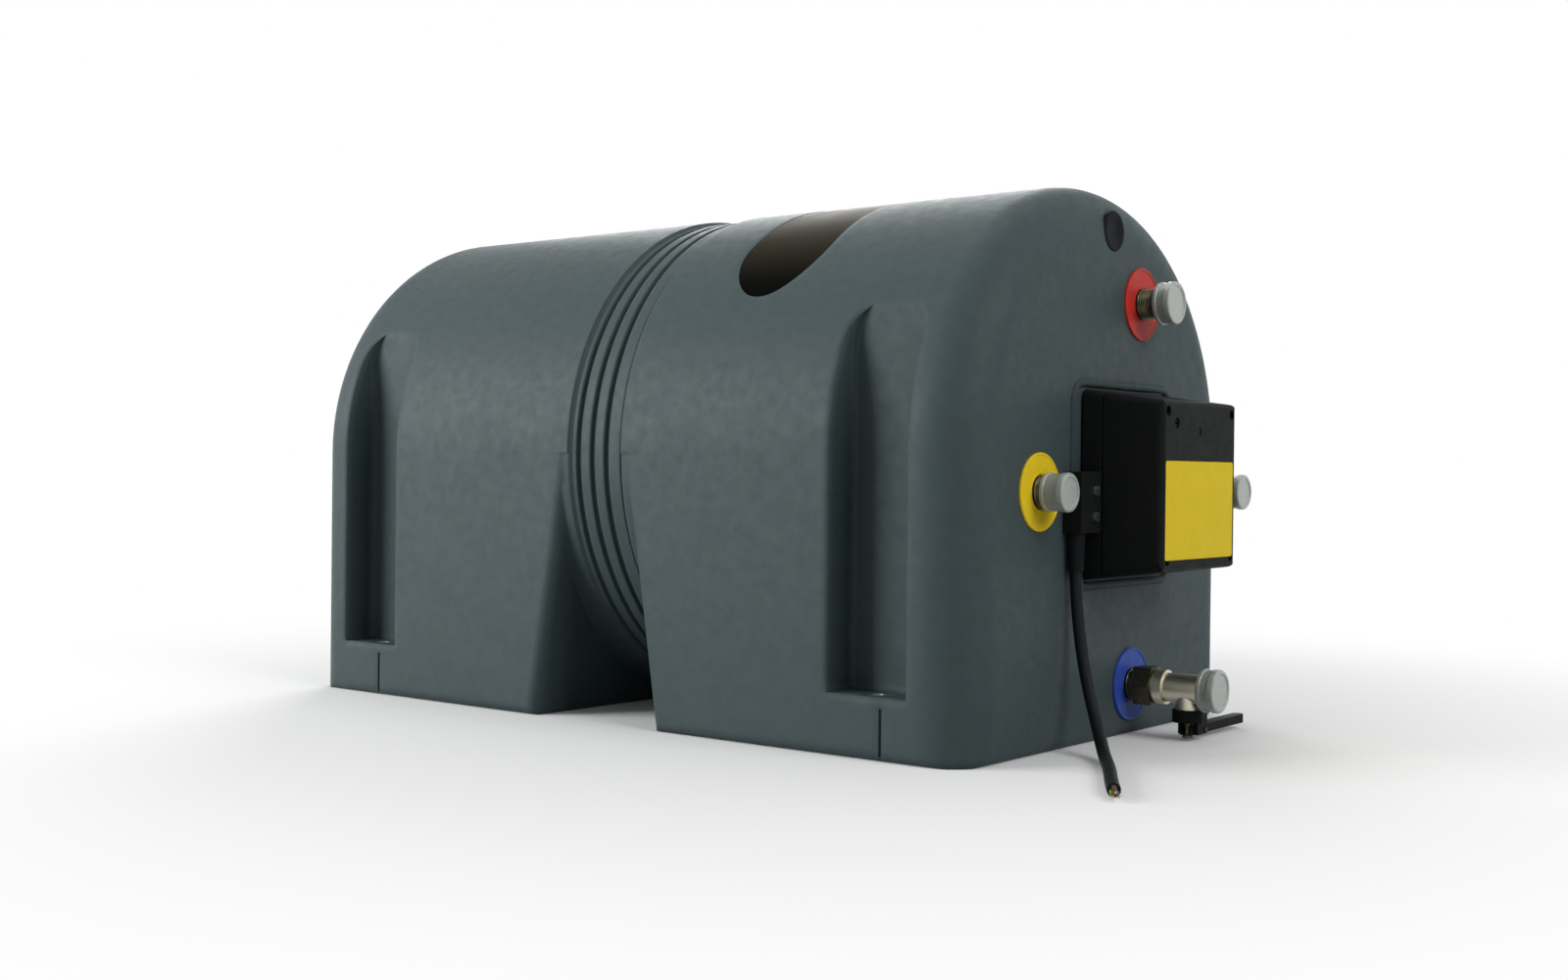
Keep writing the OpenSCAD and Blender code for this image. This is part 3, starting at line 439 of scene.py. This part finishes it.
def box_mm(node: str) -> tuple[Vector, Vector]:
    """Gives a node's lowest and highest corners in millimetres."""
    low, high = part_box(node)
    return Vector(low) / MM, Vector(high) / MM


def near_x(node: str) -> float:
    """Gives the length in millimetres at which a node starts."""
    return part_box(node)[0][0] / MM


def far_x(node: str) -> float:
    """Gives the length in millimetres at which a node ends."""
    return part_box(node)[1][0] / MM


def add_object(name: str, data: bpy.types.ID) -> Object:
    """Puts new data into the scene as an object.

    Args:
        name: object name.
        data: mesh, curve, lamp or camera.

    Returns:
        The new object.
    """
    obj = bpy.data.objects.new(name, data)
    bpy.context.scene.collection.objects.link(obj)
    return obj


def dress(obj: Object, mat: Material) -> None:
    """Gives an object one material in place of any it has."""
    obj.data.materials.clear()
    obj.data.materials.append(mat)


def add_piece(name: str, verts: Sequence[Vector], faces: Sequence[Sequence[int]], mat: Material,
              body: str = BODY) -> Object:
    """Makes a smooth-shaded mesh piece that rides on a body.

    Args:
        name: piece name.
        verts: points in millimetres.
        faces: corner numbers of each face.
        mat: finish.
        body: body that carries the piece.

    Returns:
        The new object.
    """
    mesh = bpy.data.meshes.new(name)
    mesh.from_pydata([tuple(Vector(v) * MM) for v in verts], [], [tuple(f) for f in faces])
    mesh.update()
    for face in mesh.polygons:
        face.use_smooth = True
    mesh.set_sharp_from_angle(angle=math.radians(CRISP_DEG))
    obj = add_object(name, mesh)
    dress(obj, mat)
    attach(obj, body)
    return obj


def ring_faces(count: int, loops: int) -> list[tuple[int, ...]]:
    """Joins loops of points into a closed ring.

    Args:
        count: points in each loop.
        loops: number of loops around the ring.

    Returns:
        The four corners of each face.
    """
    faces = []
    for k in range(loops):
        here, there = k * count, (k + 1) % loops * count
        for i in range(count):
            ahead = (i + 1) % count
            faces.append((here + i, here + ahead, there + ahead, there + i))
    return faces


def turned_loop(profile: Sequence[Pair], y: float, z: float,
                sides: int = 72) -> tuple[list[Vector], list[tuple[int, ...]]]:
    """Turns a closed profile about a line along X.

    Args:
        profile: points of x and radius in millimetres, the last of which joins the first.
        y: place of the line.
        z: height of the line.
        sides: steps around.

    Returns:
        Points and faces of a closed ring.
    """
    verts = []
    for k in range(sides):
        turn = 2 * math.pi * k / sides
        verts += [Vector((x, y + r * math.cos(turn), z + r * math.sin(turn))) for x, r in profile]
    return verts, ring_faces(len(profile), sides)


@dataclass(frozen=True)
class SoftBox:
    """A square studio lamp that faces the object, with its sizes in metres.

    Attributes:
        name: lamp name.
        at: its place.
        side: edge of the lamp.
        watts: power.
        aim: point that it faces.
    """

    name: str
    at: Point
    side: float
    watts: float
    aim: Point = (0.0, 0.0, 0.2)

    def build(self) -> None:
        """Hangs the lamp in the studio."""
        data = bpy.data.lights.new(self.name, "AREA")
        data.shape = "SQUARE"
        data.size = self.side
        data.energy = self.watts
        obj = add_object(self.name, data)
        obj.location = self.at
        towards = Vector(self.aim) - Vector(self.at)
        obj.rotation_euler = towards.to_track_quat("-Z", "Y").to_euler()


@dataclass
class Studio:
    """White studio with soft lamps and the photograph's camera, with its sizes in metres.

    Attributes:
        eye: place of the camera.
        turn_deg: its turn from straight across the heater.
        dip_deg: how far it looks down.
        roll_deg: how far it leans.
        lens_px: focal length in pixels of the photograph.
        image_px: size of the photograph.
        centre_px: optical centre of the photograph.
        sensor_mm: width of the sensor in millimetres.
        view_depth: how far the camera sees.
        lamps: soft boxes around the object.
        surround: light that the white surround throws on the object.
        floor_half: half of the floor's edge.
        floor_fade: distances where the floor's white starts and is full.
        paper: sRGB colour of the floor.
        paper_bounce: sRGB colour of the light that it throws back.
    """

    eye: Point = (0.9221, -1.1313, 0.1889)
    turn_deg: float = 38.237
    dip_deg: float = 0.285
    roll_deg: float = -0.626
    lens_px: float = 1790.0
    image_px: tuple[int, int] = (1600, 1000)
    centre_px: Pair = (800.0, 490.0)
    sensor_mm: float = 36.0
    view_depth: float = 60.0
    lamps: tuple[SoftBox, ...] = (
        SoftBox("key_box", (-1.9, -2.2, 1.0), 1.6, 82.0),
        SoftBox("end_box", (2.4, -0.3, 1.6), 1.4, 30.0),
        SoftBox("top_box", (-0.3, 0.3, 2.6), 2.2, 8.0),
        SoftBox("far_box", (-1.8, 2.4, 1.6), 1.6, 56.0))
    surround: float = 0.24
    floor_half: float = 30.0
    floor_fade: Pair = (0.25, 1.0)
    paper: str = "#f8f8f8"
    paper_bounce: str = "#b0b0b0"

    def camera(self) -> None:
        """Makes the camera from the fitted view and sets it on the scene."""
        turn, dip, roll = (math.radians(v) for v in (self.turn_deg, self.dip_deg, self.roll_deg))
        level = Vector((-math.sin(turn), math.cos(turn), 0.0))
        ahead = level * math.cos(dip) - Vector((0.0, 0.0, math.sin(dip)))
        right = Vector((math.cos(turn), math.sin(turn), 0.0))
        down = ahead.cross(right)
        across = right * math.cos(roll) + down * math.sin(roll)
        upward = -(down * math.cos(roll) - right * math.sin(roll))
        width, height = self.image_px
        data = bpy.data.cameras.new("photo_camera")
        data.sensor_width = self.sensor_mm
        data.lens = self.lens_px / width * data.sensor_width
        data.shift_x = (width / 2 - self.centre_px[0]) / width
        data.shift_y = (self.centre_px[1] - height / 2) / width
        data.clip_end = self.view_depth
        cam = add_object("photo_camera", data)
        cam.matrix_world = Matrix((
            (across.x, upward.x, -ahead.x, self.eye[0]),
            (across.y, upward.y, -ahead.y, self.eye[1]),
            (across.z, upward.z, -ahead.z, self.eye[2]),
            (0.0, 0.0, 0.0, 1.0)))
        bpy.context.scene.camera = cam

    def light(self) -> None:
        """Hangs the lamps and makes a surround that looks white and lights the object softly."""
        for lamp in self.lamps:
            lamp.build()
        world = bpy.data.worlds.new("white_studio")
        bpy.context.scene.world = world
        tree = empty_tree(world)
        seen = ray_share(tree, ("Is Camera Ray", "Is Glossy Ray", "Is Transmission Ray"))
        level = add_node(tree, "ShaderNodeMapRange", {"Value": seen},
                         {"To Min": self.surround, "To Max": 1.0})
        sky = add_node(tree, "ShaderNodeBackground", {"Strength": level.outputs["Result"]},
                       {"Color": WHITE})
        add_node(tree, "ShaderNodeOutputWorld", {"Surface": sky.outputs[0]})

    def floor(self) -> None:
        """Lays a wide pale floor that keeps the object's shadow and fades to white away from it."""
        half = self.floor_half
        corners = [(-half, -half, 0), (half, -half, 0), (half, half, 0), (-half, half, 0)]
        mesh = bpy.data.meshes.new("studio_floor")
        mesh.from_pydata(corners, [], [(0, 1, 2, 3)])
        obj = add_object("studio_floor", mesh)
        mat = bpy.data.materials.new("pale_paper_sweep")
        tree = empty_tree(mat)
        place = add_node(tree, "ShaderNodeTexCoord")
        reach = add_node(tree, "ShaderNodeVectorMath", {0: place.outputs["Object"]},
                         operation="LENGTH")
        fade = add_node(tree, "ShaderNodeMapRange", {"Value": reach.outputs["Value"]},
                        {"From Min": self.floor_fade[0], "From Max": self.floor_fade[1]},
                        interpolation_type="SMOOTHSTEP")
        seen = ray_share(tree, ("Is Camera Ray", "Is Glossy Ray"))
        part = add_node(tree, "ShaderNodeMath", {0: seen, 1: fade.outputs["Result"]},
                        operation="MULTIPLY")
        shade = add_node(tree, "ShaderNodeMix", {"Factor": ray_share(tree, ("Is Diffuse Ray",))},
                         {MIX_FIRST: linear(self.paper), MIX_SECOND: linear(self.paper_bounce)},
                         data_type="RGBA")
        paper = add_node(tree, "ShaderNodeBsdfDiffuse", {"Color": shade.outputs[MIX_OUT]})
        glow = add_node(tree, "ShaderNodeEmission", values={"Color": WHITE, "Strength": 1.0})
        mix = add_node(tree, "ShaderNodeMixShader",
                       {0: part.outputs[0], 1: paper.outputs[0], 2: glow.outputs[0]})
        add_node(tree, "ShaderNodeOutputMaterial", {"Surface": mix.outputs[0]})
        dress(obj, mat)


@dataclass
class SupplyLead:
    """Black round lead that hangs from its clamp and runs over the floor to its cut end.

    Attributes:
        radius: radius of the sheath.
        strip: length of the cores past the sheath.
        core: radius of a core.
        core_ring: distance of the cores from the lead's line.
        tuck: how far the cores start inside the sheath.
        insulated: share of the strip on which a core keeps its insulation.
        strand: radius of the strands as a share of a core's.
        overlap: how far the strands start inside their core.
        spare: share of the strip, a little over 1, within which points of the route are dropped.
        steps: points per stretch of the route.
        route: points that the lead passes through.
    """

    radius: float = 4.3
    strip: float = 18.0
    core: float = 1.35
    core_ring: float = 1.75
    tuck: float = 3.0
    insulated: float = 0.6
    strand: float = 0.6
    overlap: float = 1.0
    spare: float = 1.05
    steps: int = 4
    route: Sequence[Point] = (
        (336.5, -64.0, 181.0), (336.5, -64.0, 163.0), (336.5, -64.0, 145.0), (336.5, -64.0, 122.0),
        (337.9, -64.6, 101.0), (340.9, -65.6, 80.0), (345.1, -67.0, 60.0), (350.7, -69.6, 42.0),
        (358.3, -75.0, 26.0), (367.5, -84.6, 13.0), (378.0, -99.0, 5.8), (389.5, -117.0, 4.5),
        (401.5, -137.0, 4.5), (413.5, -158.0, 4.5), (425.5, -179.5, 4.5), (437.5, -200.0, 4.5),
        (449.5, -220.0, 4.5))

    def line(self) -> list[Vector]:
        """Rounds the route with a smooth curve through its points.

        Returns:
            Points along the lead in metres.
        """
        pts = [Vector(p) * MM for p in self.route]
        out: list[Vector] = []
        for i in range(len(pts) - 1):
            a, b, c, d = pts[max(i - 1, 0)], pts[i], pts[i + 1], pts[min(i + 2, len(pts) - 1)]
            for k in range(self.steps):
                t = k / self.steps
                out.append(0.5 * (2 * b + (c - a) * t + (2 * a - 5 * b + 4 * c - d) * t ** 2
                                  + (3 * b - a - 3 * c + d) * t ** 3))
        return out + [pts[-1]]

    def wire(self, name: str, line: Sequence[Vector], radius: float, mat: Material) -> Object:
        """Makes a round wire along a line.

        Args:
            name: piece name.
            line: points in metres.
            radius: radius in millimetres.
            mat: finish.

        Returns:
            The wire's curve object.
        """
        data = bpy.data.curves.new(name, "CURVE")
        data.dimensions = "3D"
        data.bevel_depth = radius * MM
        data.bevel_resolution = 4
        data.use_fill_caps = True
        spline = data.splines.new("POLY")
        spline.points.add(len(line) - 1)
        for point, place in zip(spline.points, line):
            point.co = (*place, 1.0)
        obj = add_object(name, data)
        data.materials.append(mat)
        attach(obj, BODY)
        return obj

    def cores(self, end: Vector, ahead: Vector, mats: Mats) -> list[Object]:
        """Makes the three cores at the cut end, each with its bare strands.

        Args:
            end: end of the sheath in metres.
            ahead: direction of the lead there.
            mats: materials by finish.

        Returns:
            The cores and their strands.
        """
        side = ahead.cross(Vector((0.0, 0.0, 1.0))).normalized()
        up = side.cross(ahead)
        stops = (-self.tuck, self.strip * self.insulated, self.strip)
        pieces = []
        for k, finish in enumerate(CORES):
            turn = math.radians(90.0 + 360.0 / len(CORES) * k)
            off = (side * math.cos(turn) + up * math.sin(turn)) * self.core_ring * MM
            start, bare, tip = (end + off + ahead * d * MM for d in stops)
            name = finish.name.split("_")[0]
            core = [start, start.lerp(bare, 0.5), bare]
            strand = [bare - ahead * self.overlap * MM, bare.lerp(tip, 0.5), tip]
            pieces.append(self.wire(f"lead_core_{name}", core, self.core, mats[finish]))
            pieces.append(self.wire(f"lead_strand_{name}", strand, self.core * self.strand,
                                    mats[COPPER]))
        return pieces

    def build(self, mats: Mats) -> list[Object]:
        """Args:
            mats: materials by finish.

        Returns:
            The pieces of the lead.
        """
        line = self.line()
        ahead = (line[-1] - line[-2]).normalized()
        end = line[-1] - ahead * self.strip * MM
        sheath = [p for p in line if (p - line[-1]).length > self.strip * MM * self.spare] + [end]
        obj = self.wire("supply_lead_sheath", sheath, self.radius, mats[LEAD])
        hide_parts("supply_lead")
        pieces = self.cores(end, ahead, mats)
        return [obj, *pieces]


@dataclass(frozen=True)
class CapSection:
    """Section of a push-on cap: a skirt with two beads and an end with a raised rim.

    Attributes:
        wall: thickness of the skirt.
        gap: room between the bore and a pipe's thread.
        edge: chamfer of the mouth.
        bead: width of the bead at the mouth.
        slope: length of the slope from a bead to the neck.
        neck: depth of the neck between the beads.
        end_bead: distance of the second bead from the end.
        rim: steps over the rim, each back from the end and in from the radius.
        dish: depth of the end face behind the rim.
        floor: depth of the inner face behind the rim.
        fillet: inside chamfer between bore and inner face.
    """

    wall: float = 2.6
    gap: float = 0.3
    edge: float = 0.5
    bead: float = 2.4
    slope: float = 0.6
    neck: float = 0.7
    end_bead: float = 4.6
    rim: Sequence[Pair] = ((1.6, 0.0), (0.6, 0.4), (0.1, 1.2), (0.0, 1.8), (0.1, 3.0), (0.8, 3.6))
    dish: float = 0.8
    floor: float = 2.2
    fillet: float = 0.6

    def profile(self, mouth: float, end: float, radius: float, thread_r: float) -> list[Pair]:
        """Draws the section along the cap's line.

        Args:
            mouth: length of the open end.
            end: length of the closed end.
            radius: outer radius.
            thread_r: radius of the thread that the cap is pushed on.

        Returns:
            Points of x and radius.
        """
        bore = max(radius - self.wall, thread_r + self.gap)
        neck, floor = radius - self.neck, end - self.floor
        skirt = [(mouth, bore), (mouth, radius - self.edge), (mouth + self.edge, radius),
                 (mouth + self.bead, radius), (mouth + self.bead + self.slope, neck),
                 (end - self.end_bead - self.slope, neck), (end - self.end_bead, radius)]
        rim = [(end - back, radius - inward) for back, inward in self.rim]
        inside = [(end - self.dish, PIN), (floor, PIN), (floor, bore - self.fillet),
                  (floor - self.fillet, bore)]
        return skirt + rim + inside


@dataclass
class PipeFitting:
    """A capped pipe end: the lips of its coloured ring, its thread and its push-on cap.

    Attributes:
        name: first part of the pieces' names.
        ring: node of the coloured ring.
        cap: node of the cap, and the body that carries it.
        thread_end: length at which the pipe's thread ends.
        cap_long: length of the cap.
        finish: finish of the ring.
        pitch: pitch of the thread.
        crest: height of the thread over the pipe.
        root: height of the thread's root over the pipe.
        flat: shares of the pitch between which the crest is flat.
        sunk: how far the thread reaches into the pipe.
        thread_gaps: room before and after the thread.
        fewest_turns: number of turns under which no thread is drawn.
        lip_half: half of a lip's width.
        lip_rise: height of a lip.
        lip_shoulder: shares of height and half width at a lip's shoulder.
        lip_inset: distance of the outer lip from the ring's rim.
        lip_gap: distance of the inner lip from the pipe.
        section: section of the cap.
    """

    name: str
    ring: str
    cap: str
    thread_end: float
    cap_long: float
    finish: Finish
    pitch: float = 1.81
    crest: float = 0.75
    root: float = 0.05
    flat: Pair = (0.45, 0.55)
    sunk: float = 1.0
    thread_gaps: Pair = (0.3, 0.2)
    fewest_turns: int = 2
    lip_half: float = 0.8
    lip_rise: float = 0.55
    lip_shoulder: Pair = (0.6, 0.7)
    lip_inset: float = 1.0
    lip_gap: float = 2.4
    section: CapSection = CapSection()
    y: float = field(init=False)
    z: float = field(init=False)
    face: float = field(init=False)
    ring_r: float = field(init=False)
    tip: float = field(init=False)
    cap_r: float = field(init=False)

    def __post_init__(self) -> None:
        """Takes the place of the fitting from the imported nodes."""
        low, high = box_mm(self.ring)
        cap_low, cap_high = box_mm(self.cap)
        self.y, self.z = (low.y + high.y) / 2, (low.z + high.z) / 2
        self.face, self.ring_r = high.x, (high.y - low.y) / 2
        self.tip, self.cap_r = cap_high.x, (cap_high.y - cap_low.y) / 2

    def lip(self, label: str, radius: float, mat: Material) -> Object:
        """Adds a round moulded lip on the face of the ring.

        Args:
            label: last part of the piece's name.
            radius: radius of the lip's crest.
            mat: finish.

        Returns:
            The lip.
        """
        shoulder = self.face + self.lip_shoulder[0] * self.lip_rise
        across = self.lip_shoulder[1] * self.lip_half
        profile = [(self.face - SINK, radius - self.lip_half), (shoulder, radius - across),
                   (self.face + self.lip_rise, radius), (shoulder, radius + across),
                   (self.face - SINK, radius + self.lip_half)]
        return add_piece(f"{self.name}_{label}", *turned_loop(profile, self.y, self.z), mat)

    def push_cap(self, mat: Material) -> Object:
        """Makes the cap in place of its plain solid.

        Args:
            mat: finish.

        Returns:
            The cap, which rides on the cap's own body.
        """
        profile = self.section.profile(self.tip - self.cap_long, self.tip, self.cap_r,
                                       PIPE_R + self.crest)
        piece = add_piece(f"{self.name}_push_cap", *turned_loop(profile, self.y, self.z), mat,
                          self.cap)
        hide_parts(self.cap)
        return piece

    def thread(self, mat: Material) -> list[Object]:
        """Adds the pipe thread between the ring and what is screwed or pushed on the pipe.

        Args:
            mat: finish.

        Returns:
            The thread, or nothing where the pipe is too short for one.
        """
        start = self.face + self.thread_gaps[0]
        turns = int((self.thread_end - start - self.thread_gaps[1]) / self.pitch)
        if turns < self.fewest_turns:
            return []
        root, crest, sunk = PIPE_R + self.root, PIPE_R + self.crest, PIPE_R - self.sunk
        profile = [(start, sunk)]
        for x in (start + k * self.pitch for k in range(turns)):
            profile += [(x, root), (x + self.flat[0] * self.pitch, crest),
                        (x + self.flat[1] * self.pitch, crest)]
        end = start + turns * self.pitch
        profile += [(end, root), (end, sunk)]
        return [add_piece(f"{self.name}_thread", *turned_loop(profile, self.y, self.z), mat)]

    def build(self, mats: Mats) -> list[Object]:
        """Adds the pieces of the fitting.

        Args:
            mats: materials by finish.

        Returns:
            The lips, the cap and the thread.
        """
        ring = mats[self.finish]
        pieces = [self.lip("ring_lip_outer", self.ring_r - self.lip_inset, ring),
                  self.lip("ring_lip_inner", PIPE_R + self.lip_gap, ring),
                  self.push_cap(mats[CAP])]
        return pieces + self.thread(mats[DARK_BRASS])


@dataclass
class BoxSurround:
    """Lip of the casing around the thermostat box, and the draft of the box's moulded sides.

    Attributes:
        margin: distance of the lip from the box, across and up.
        lip_half: half of the lip's width.
        lip_rise: height of the lip.
        lip_section: shares of half width and height over the lip.
        lip_width: full width of the lip as a share of the half.
        draft: how far the sides stand out at the wall, across and up.
        skin: how far they stand out all over, so that they cover the solid.
        inset: depth to which they reach into the solid.
        front_edge: distance from the box's front at which they end.
        corner: radius of the box's corners.
        corner_steps: steps around a corner.
    """

    margin: Pair = (14.0, 9.5)
    lip_half: float = 3.0
    lip_rise: float = 1.2
    lip_section: Sequence[Pair] = ((0.25, 0.6), (0.8, 1.0), (1.3, 0.85))
    lip_width: float = 2.0
    draft: Pair = (1.5, 7.5)
    skin: float = 0.12
    inset: float = 1.0
    front_edge: float = 4.5
    corner: float = 6.0
    corner_steps: int = 10
    low: Vector = field(init=False)
    high: Vector = field(init=False)
    wall: float = field(init=False)

    def __post_init__(self) -> None:
        """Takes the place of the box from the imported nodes."""
        self.low, self.high = box_mm("box_cover")
        self.wall = far_x("casing_front")

    def outline(self, grow: Pair, corner: float) -> list[Pair]:
        """Draws a rounded outline about the box.

        Args:
            grow: how far it stands out from the box, across and up.
            corner: radius of its corners.

        Returns:
            Points of y and z.
        """
        points = []
        for side_y, side_z, first in ((1, 1, 0.0), (-1, 1, 90.0), (-1, -1, 180.0), (1, -1, 270.0)):
            y = (self.high.y if side_y > 0 else self.low.y) + side_y * (grow[0] - corner)
            z = (self.high.z if side_z > 0 else self.low.z) + side_z * (grow[1] - corner)
            for k in range(self.corner_steps + 1):
                turn = math.radians(first + 90.0 * k / self.corner_steps)
                points.append((y + corner * math.cos(turn), z + corner * math.sin(turn)))
        return points

    def ring(self, name: str, stations: Sequence[tuple[float, Pair, float]],
             mat: Material) -> Object:
        """Makes a closed ring about the box.

        Args:
            name: piece name.
            stations: length, growth and corner radius of each outline, in order around the section.
            mat: finish.

        Returns:
            The ring.
        """
        lines = [[Vector((x, y, z)) for y, z in self.outline(grow, corner)]
                 for x, grow, corner in stations]
        loops = len(lines[0])
        verts = [line[k] for k in range(loops) for line in lines]
        return add_piece(name, verts, ring_faces(len(lines), loops), mat)

    def lip(self, mat: Material) -> Object:
        """Makes the casing's lip around the box.

        Args:
            mat: finish.

        Returns:
            The lip.
        """
        section = [(0.0, -SINK), *((share, height * self.lip_rise)
                                   for share, height in self.lip_section), (self.lip_width, -SINK)]
        stations = []
        for share, rise in section:
            out = share * self.lip_half
            grow = (self.margin[0] + out, self.margin[1] + out)
            stations.append((self.wall + rise, grow, 2 * self.corner + out))
        return self.ring("box_recess_lip", stations, mat)

    def side(self, name: str, start: float, end: float, mat: Material) -> Object:
        """Makes one drafted stretch of the box's sides.

        Args:
            name: piece name.
            start: length where it starts.
            end: length where it ends.
            mat: finish.

        Returns:
            The stretch.
        """
        tip = self.high.x - self.front_edge
        outer = []
        for x in (start, end):
            share = (tip - x) / (tip - self.wall)
            grow = (self.draft[0] * share + self.skin, self.draft[1] * share + self.skin)
            outer.append((x, grow, self.corner))
        inner = (-self.inset, -self.inset)
        stations = [*outer, (end, inner, self.corner), (start, inner, self.corner)]
        return self.ring(name, stations, mat)

    def build(self, mats: Mats) -> list[Object]:
        """Makes the lip and the sides of base and cover.

        Args:
            mats: materials by finish.

        Returns:
            The lip and both stretches of the sides.
        """
        abs_black, tip = mats[BLACK_ABS], self.high.x - self.front_edge
        return [self.lip(mats[CASING]),
                self.side("box_base_sides", self.wall - SINK, far_x("box_base"), abs_black),
                self.side("box_cover_sides", self.low.x, tip, abs_black)]


@dataclass
class EndPlug:
    """Domed rubber head of the plug high on the fittings end.

    Attributes:
        radius: radius of the head.
        depth: how far it reaches behind the casing's face.
        taper: how much narrower it is there.
        dome: steps over the head, each out from the face and in from the radius.
        hollow: height of its middle over the face.
    """

    radius: float = 14.8
    depth: float = 2.5
    taper: float = 0.6
    dome: Sequence[Pair] = ((-0.4, 0.0), (0.6, 0.8), (1.0, 3.3), (0.6, 4.3))
    hollow: float = 0.4

    def build(self, mats: Mats) -> list[Object]:
        """Turns the head over the plug's solid.

        Args:
            mats: materials by finish.

        Returns:
            The head.
        """
        low, high = box_mm("end_plug")
        face = far_x("casing_front")
        back = face - self.depth
        dome = [(face + out, self.radius - inward) for out, inward in self.dome]
        profile = [(back, PIN), (back, self.radius - self.taper), *dome, (face + self.hollow, PIN)]
        ring = turned_loop(profile, (low.y + high.y) / 2, (low.z + high.z) / 2)
        return [add_piece("end_plug_head", *ring, mats[RUBBER])]


@dataclass
class ReliefSpring:
    """Wire spring of the relief branch, which shortens as the lever draws the stem down.

    Attributes:
        wire: radius of the wire.
        turns: turns of the spring.
        steps: steps around a turn.
        sides: steps around the wire.
        travel: not used.
    """

    wire: float = 0.6
    turns: int = 4
    steps: int = 20
    sides: int = 8
    travel: float = 2.2

    def build(self, mats: Mats) -> list[Object]:
        """Winds the spring in place of its solid.

        Args:
            mats: materials by finish.

        Returns:
            The spring.
        """
        low, high = box_mm("relief_spring")
        foot = Vector(((low.x + high.x) / 2, (low.y + high.y) / 2, low.z + self.wire))
        ring, rise = (high.x - low.x) / 2 - self.wire, high.z - low.z - 2 * self.wire
        count = self.turns * self.steps
        verts: list[Vector] = []
        for k in range(count + 1):
            turn = 2 * math.pi * k / self.steps
            outward = Vector((math.cos(turn), math.sin(turn), 0.0))
            centre = foot + outward * ring + Vector((0.0, 0.0, rise * k / count))
            for i in range(self.sides):
                around = 2 * math.pi * i / self.sides
                upward = Vector((0.0, 0.0, math.sin(around)))
                verts.append(centre + (outward * math.cos(around) + upward) * self.wire)
        faces = ring_faces(self.sides, count + 1)[:self.sides * count]
        first_end = tuple(range(self.sides))
        last_end = tuple(range(self.sides * count, self.sides * (count + 1)))
        piece = add_piece("relief_spring_wire", verts, [*faces, first_end, last_end], mats[STEEL])
        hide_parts("relief_spring")
        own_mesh(piece)
        return [piece]


@dataclass
class CasingShells:
    """The two moulded halves of the casing, shaded evenly where the flat sides meet the arch.

    Attributes:
        hairline: width of the step there, which is closed.
        crisp_deg: edges that turn by more than this stay crisp.
        area_weight: how much large faces count in the shading.
    """

    hairline: float = 0.15
    crisp_deg: float = 30.0
    area_weight: int = 80

    def smooth(self, shell: Object) -> None:
        """Closes the hairline on one half, so that light runs evenly over it.

        Args:
            shell: half of the casing.
        """
        seam = shell.modifiers.new("closed_hairline", "WELD")
        seam.merge_threshold = self.hairline * MM
        edges = shell.modifiers.new("crisp_edges", "EDGE_SPLIT")
        edges.split_angle = math.radians(self.crisp_deg)
        edges.use_edge_sharp = False
        even = shell.modifiers.new("even_light", "WEIGHTED_NORMAL")
        even.keep_sharp = True
        even.weight = self.area_weight


FITTINGS = (
    PipeFitting("hot", "hot_ring", "hot_cap", far_x("hot_nipple"), cap_long=13.0, finish=RED_RING),
    PipeFitting("cold", "cold_ring", "cold_cap", near_x("valve_nut"), cap_long=13.0,
                finish=BLUE_RING),
    PipeFitting("coolant_near", "coolant_ring_near", "coolant_cap_near",
                far_x("coolant_nipple_near"), cap_long=17.0, finish=YELLOW_RING),
    PipeFitting("coolant_far", "coolant_ring_far", "coolant_cap_far",
                far_x("coolant_nipple_far"), cap_long=15.0, finish=YELLOW_RING),
)


def main() -> None:
    """Builds the scene in order and reports each piece."""
    logging.basicConfig(level=logging.INFO)
    bpy.context.scene.view_settings.view_transform = "Standard"
    studio = Studio()
    studio.camera()
    mats = {finish: finish.build() for finish in (*FINISH_OF, *CORES, COPPER)}
    for group in (SupplyLead(), *FITTINGS, BoxSurround(), EndPlug(), ReliefSpring()):
        for piece in group.build(mats):
            LOG.info("built %s", piece.name)
    for finish, names in FINISH_OF.items():
        for name in names:
            dress(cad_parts[name], mats[finish])
            LOG.info("dressed %s in %s", name, finish.name)
    shells = CasingShells()
    for name in FINISH_OF[CASING]:
        shells.smooth(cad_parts[name])
    studio.floor()
    studio.light()


if __name__ == "__main__":
    main()
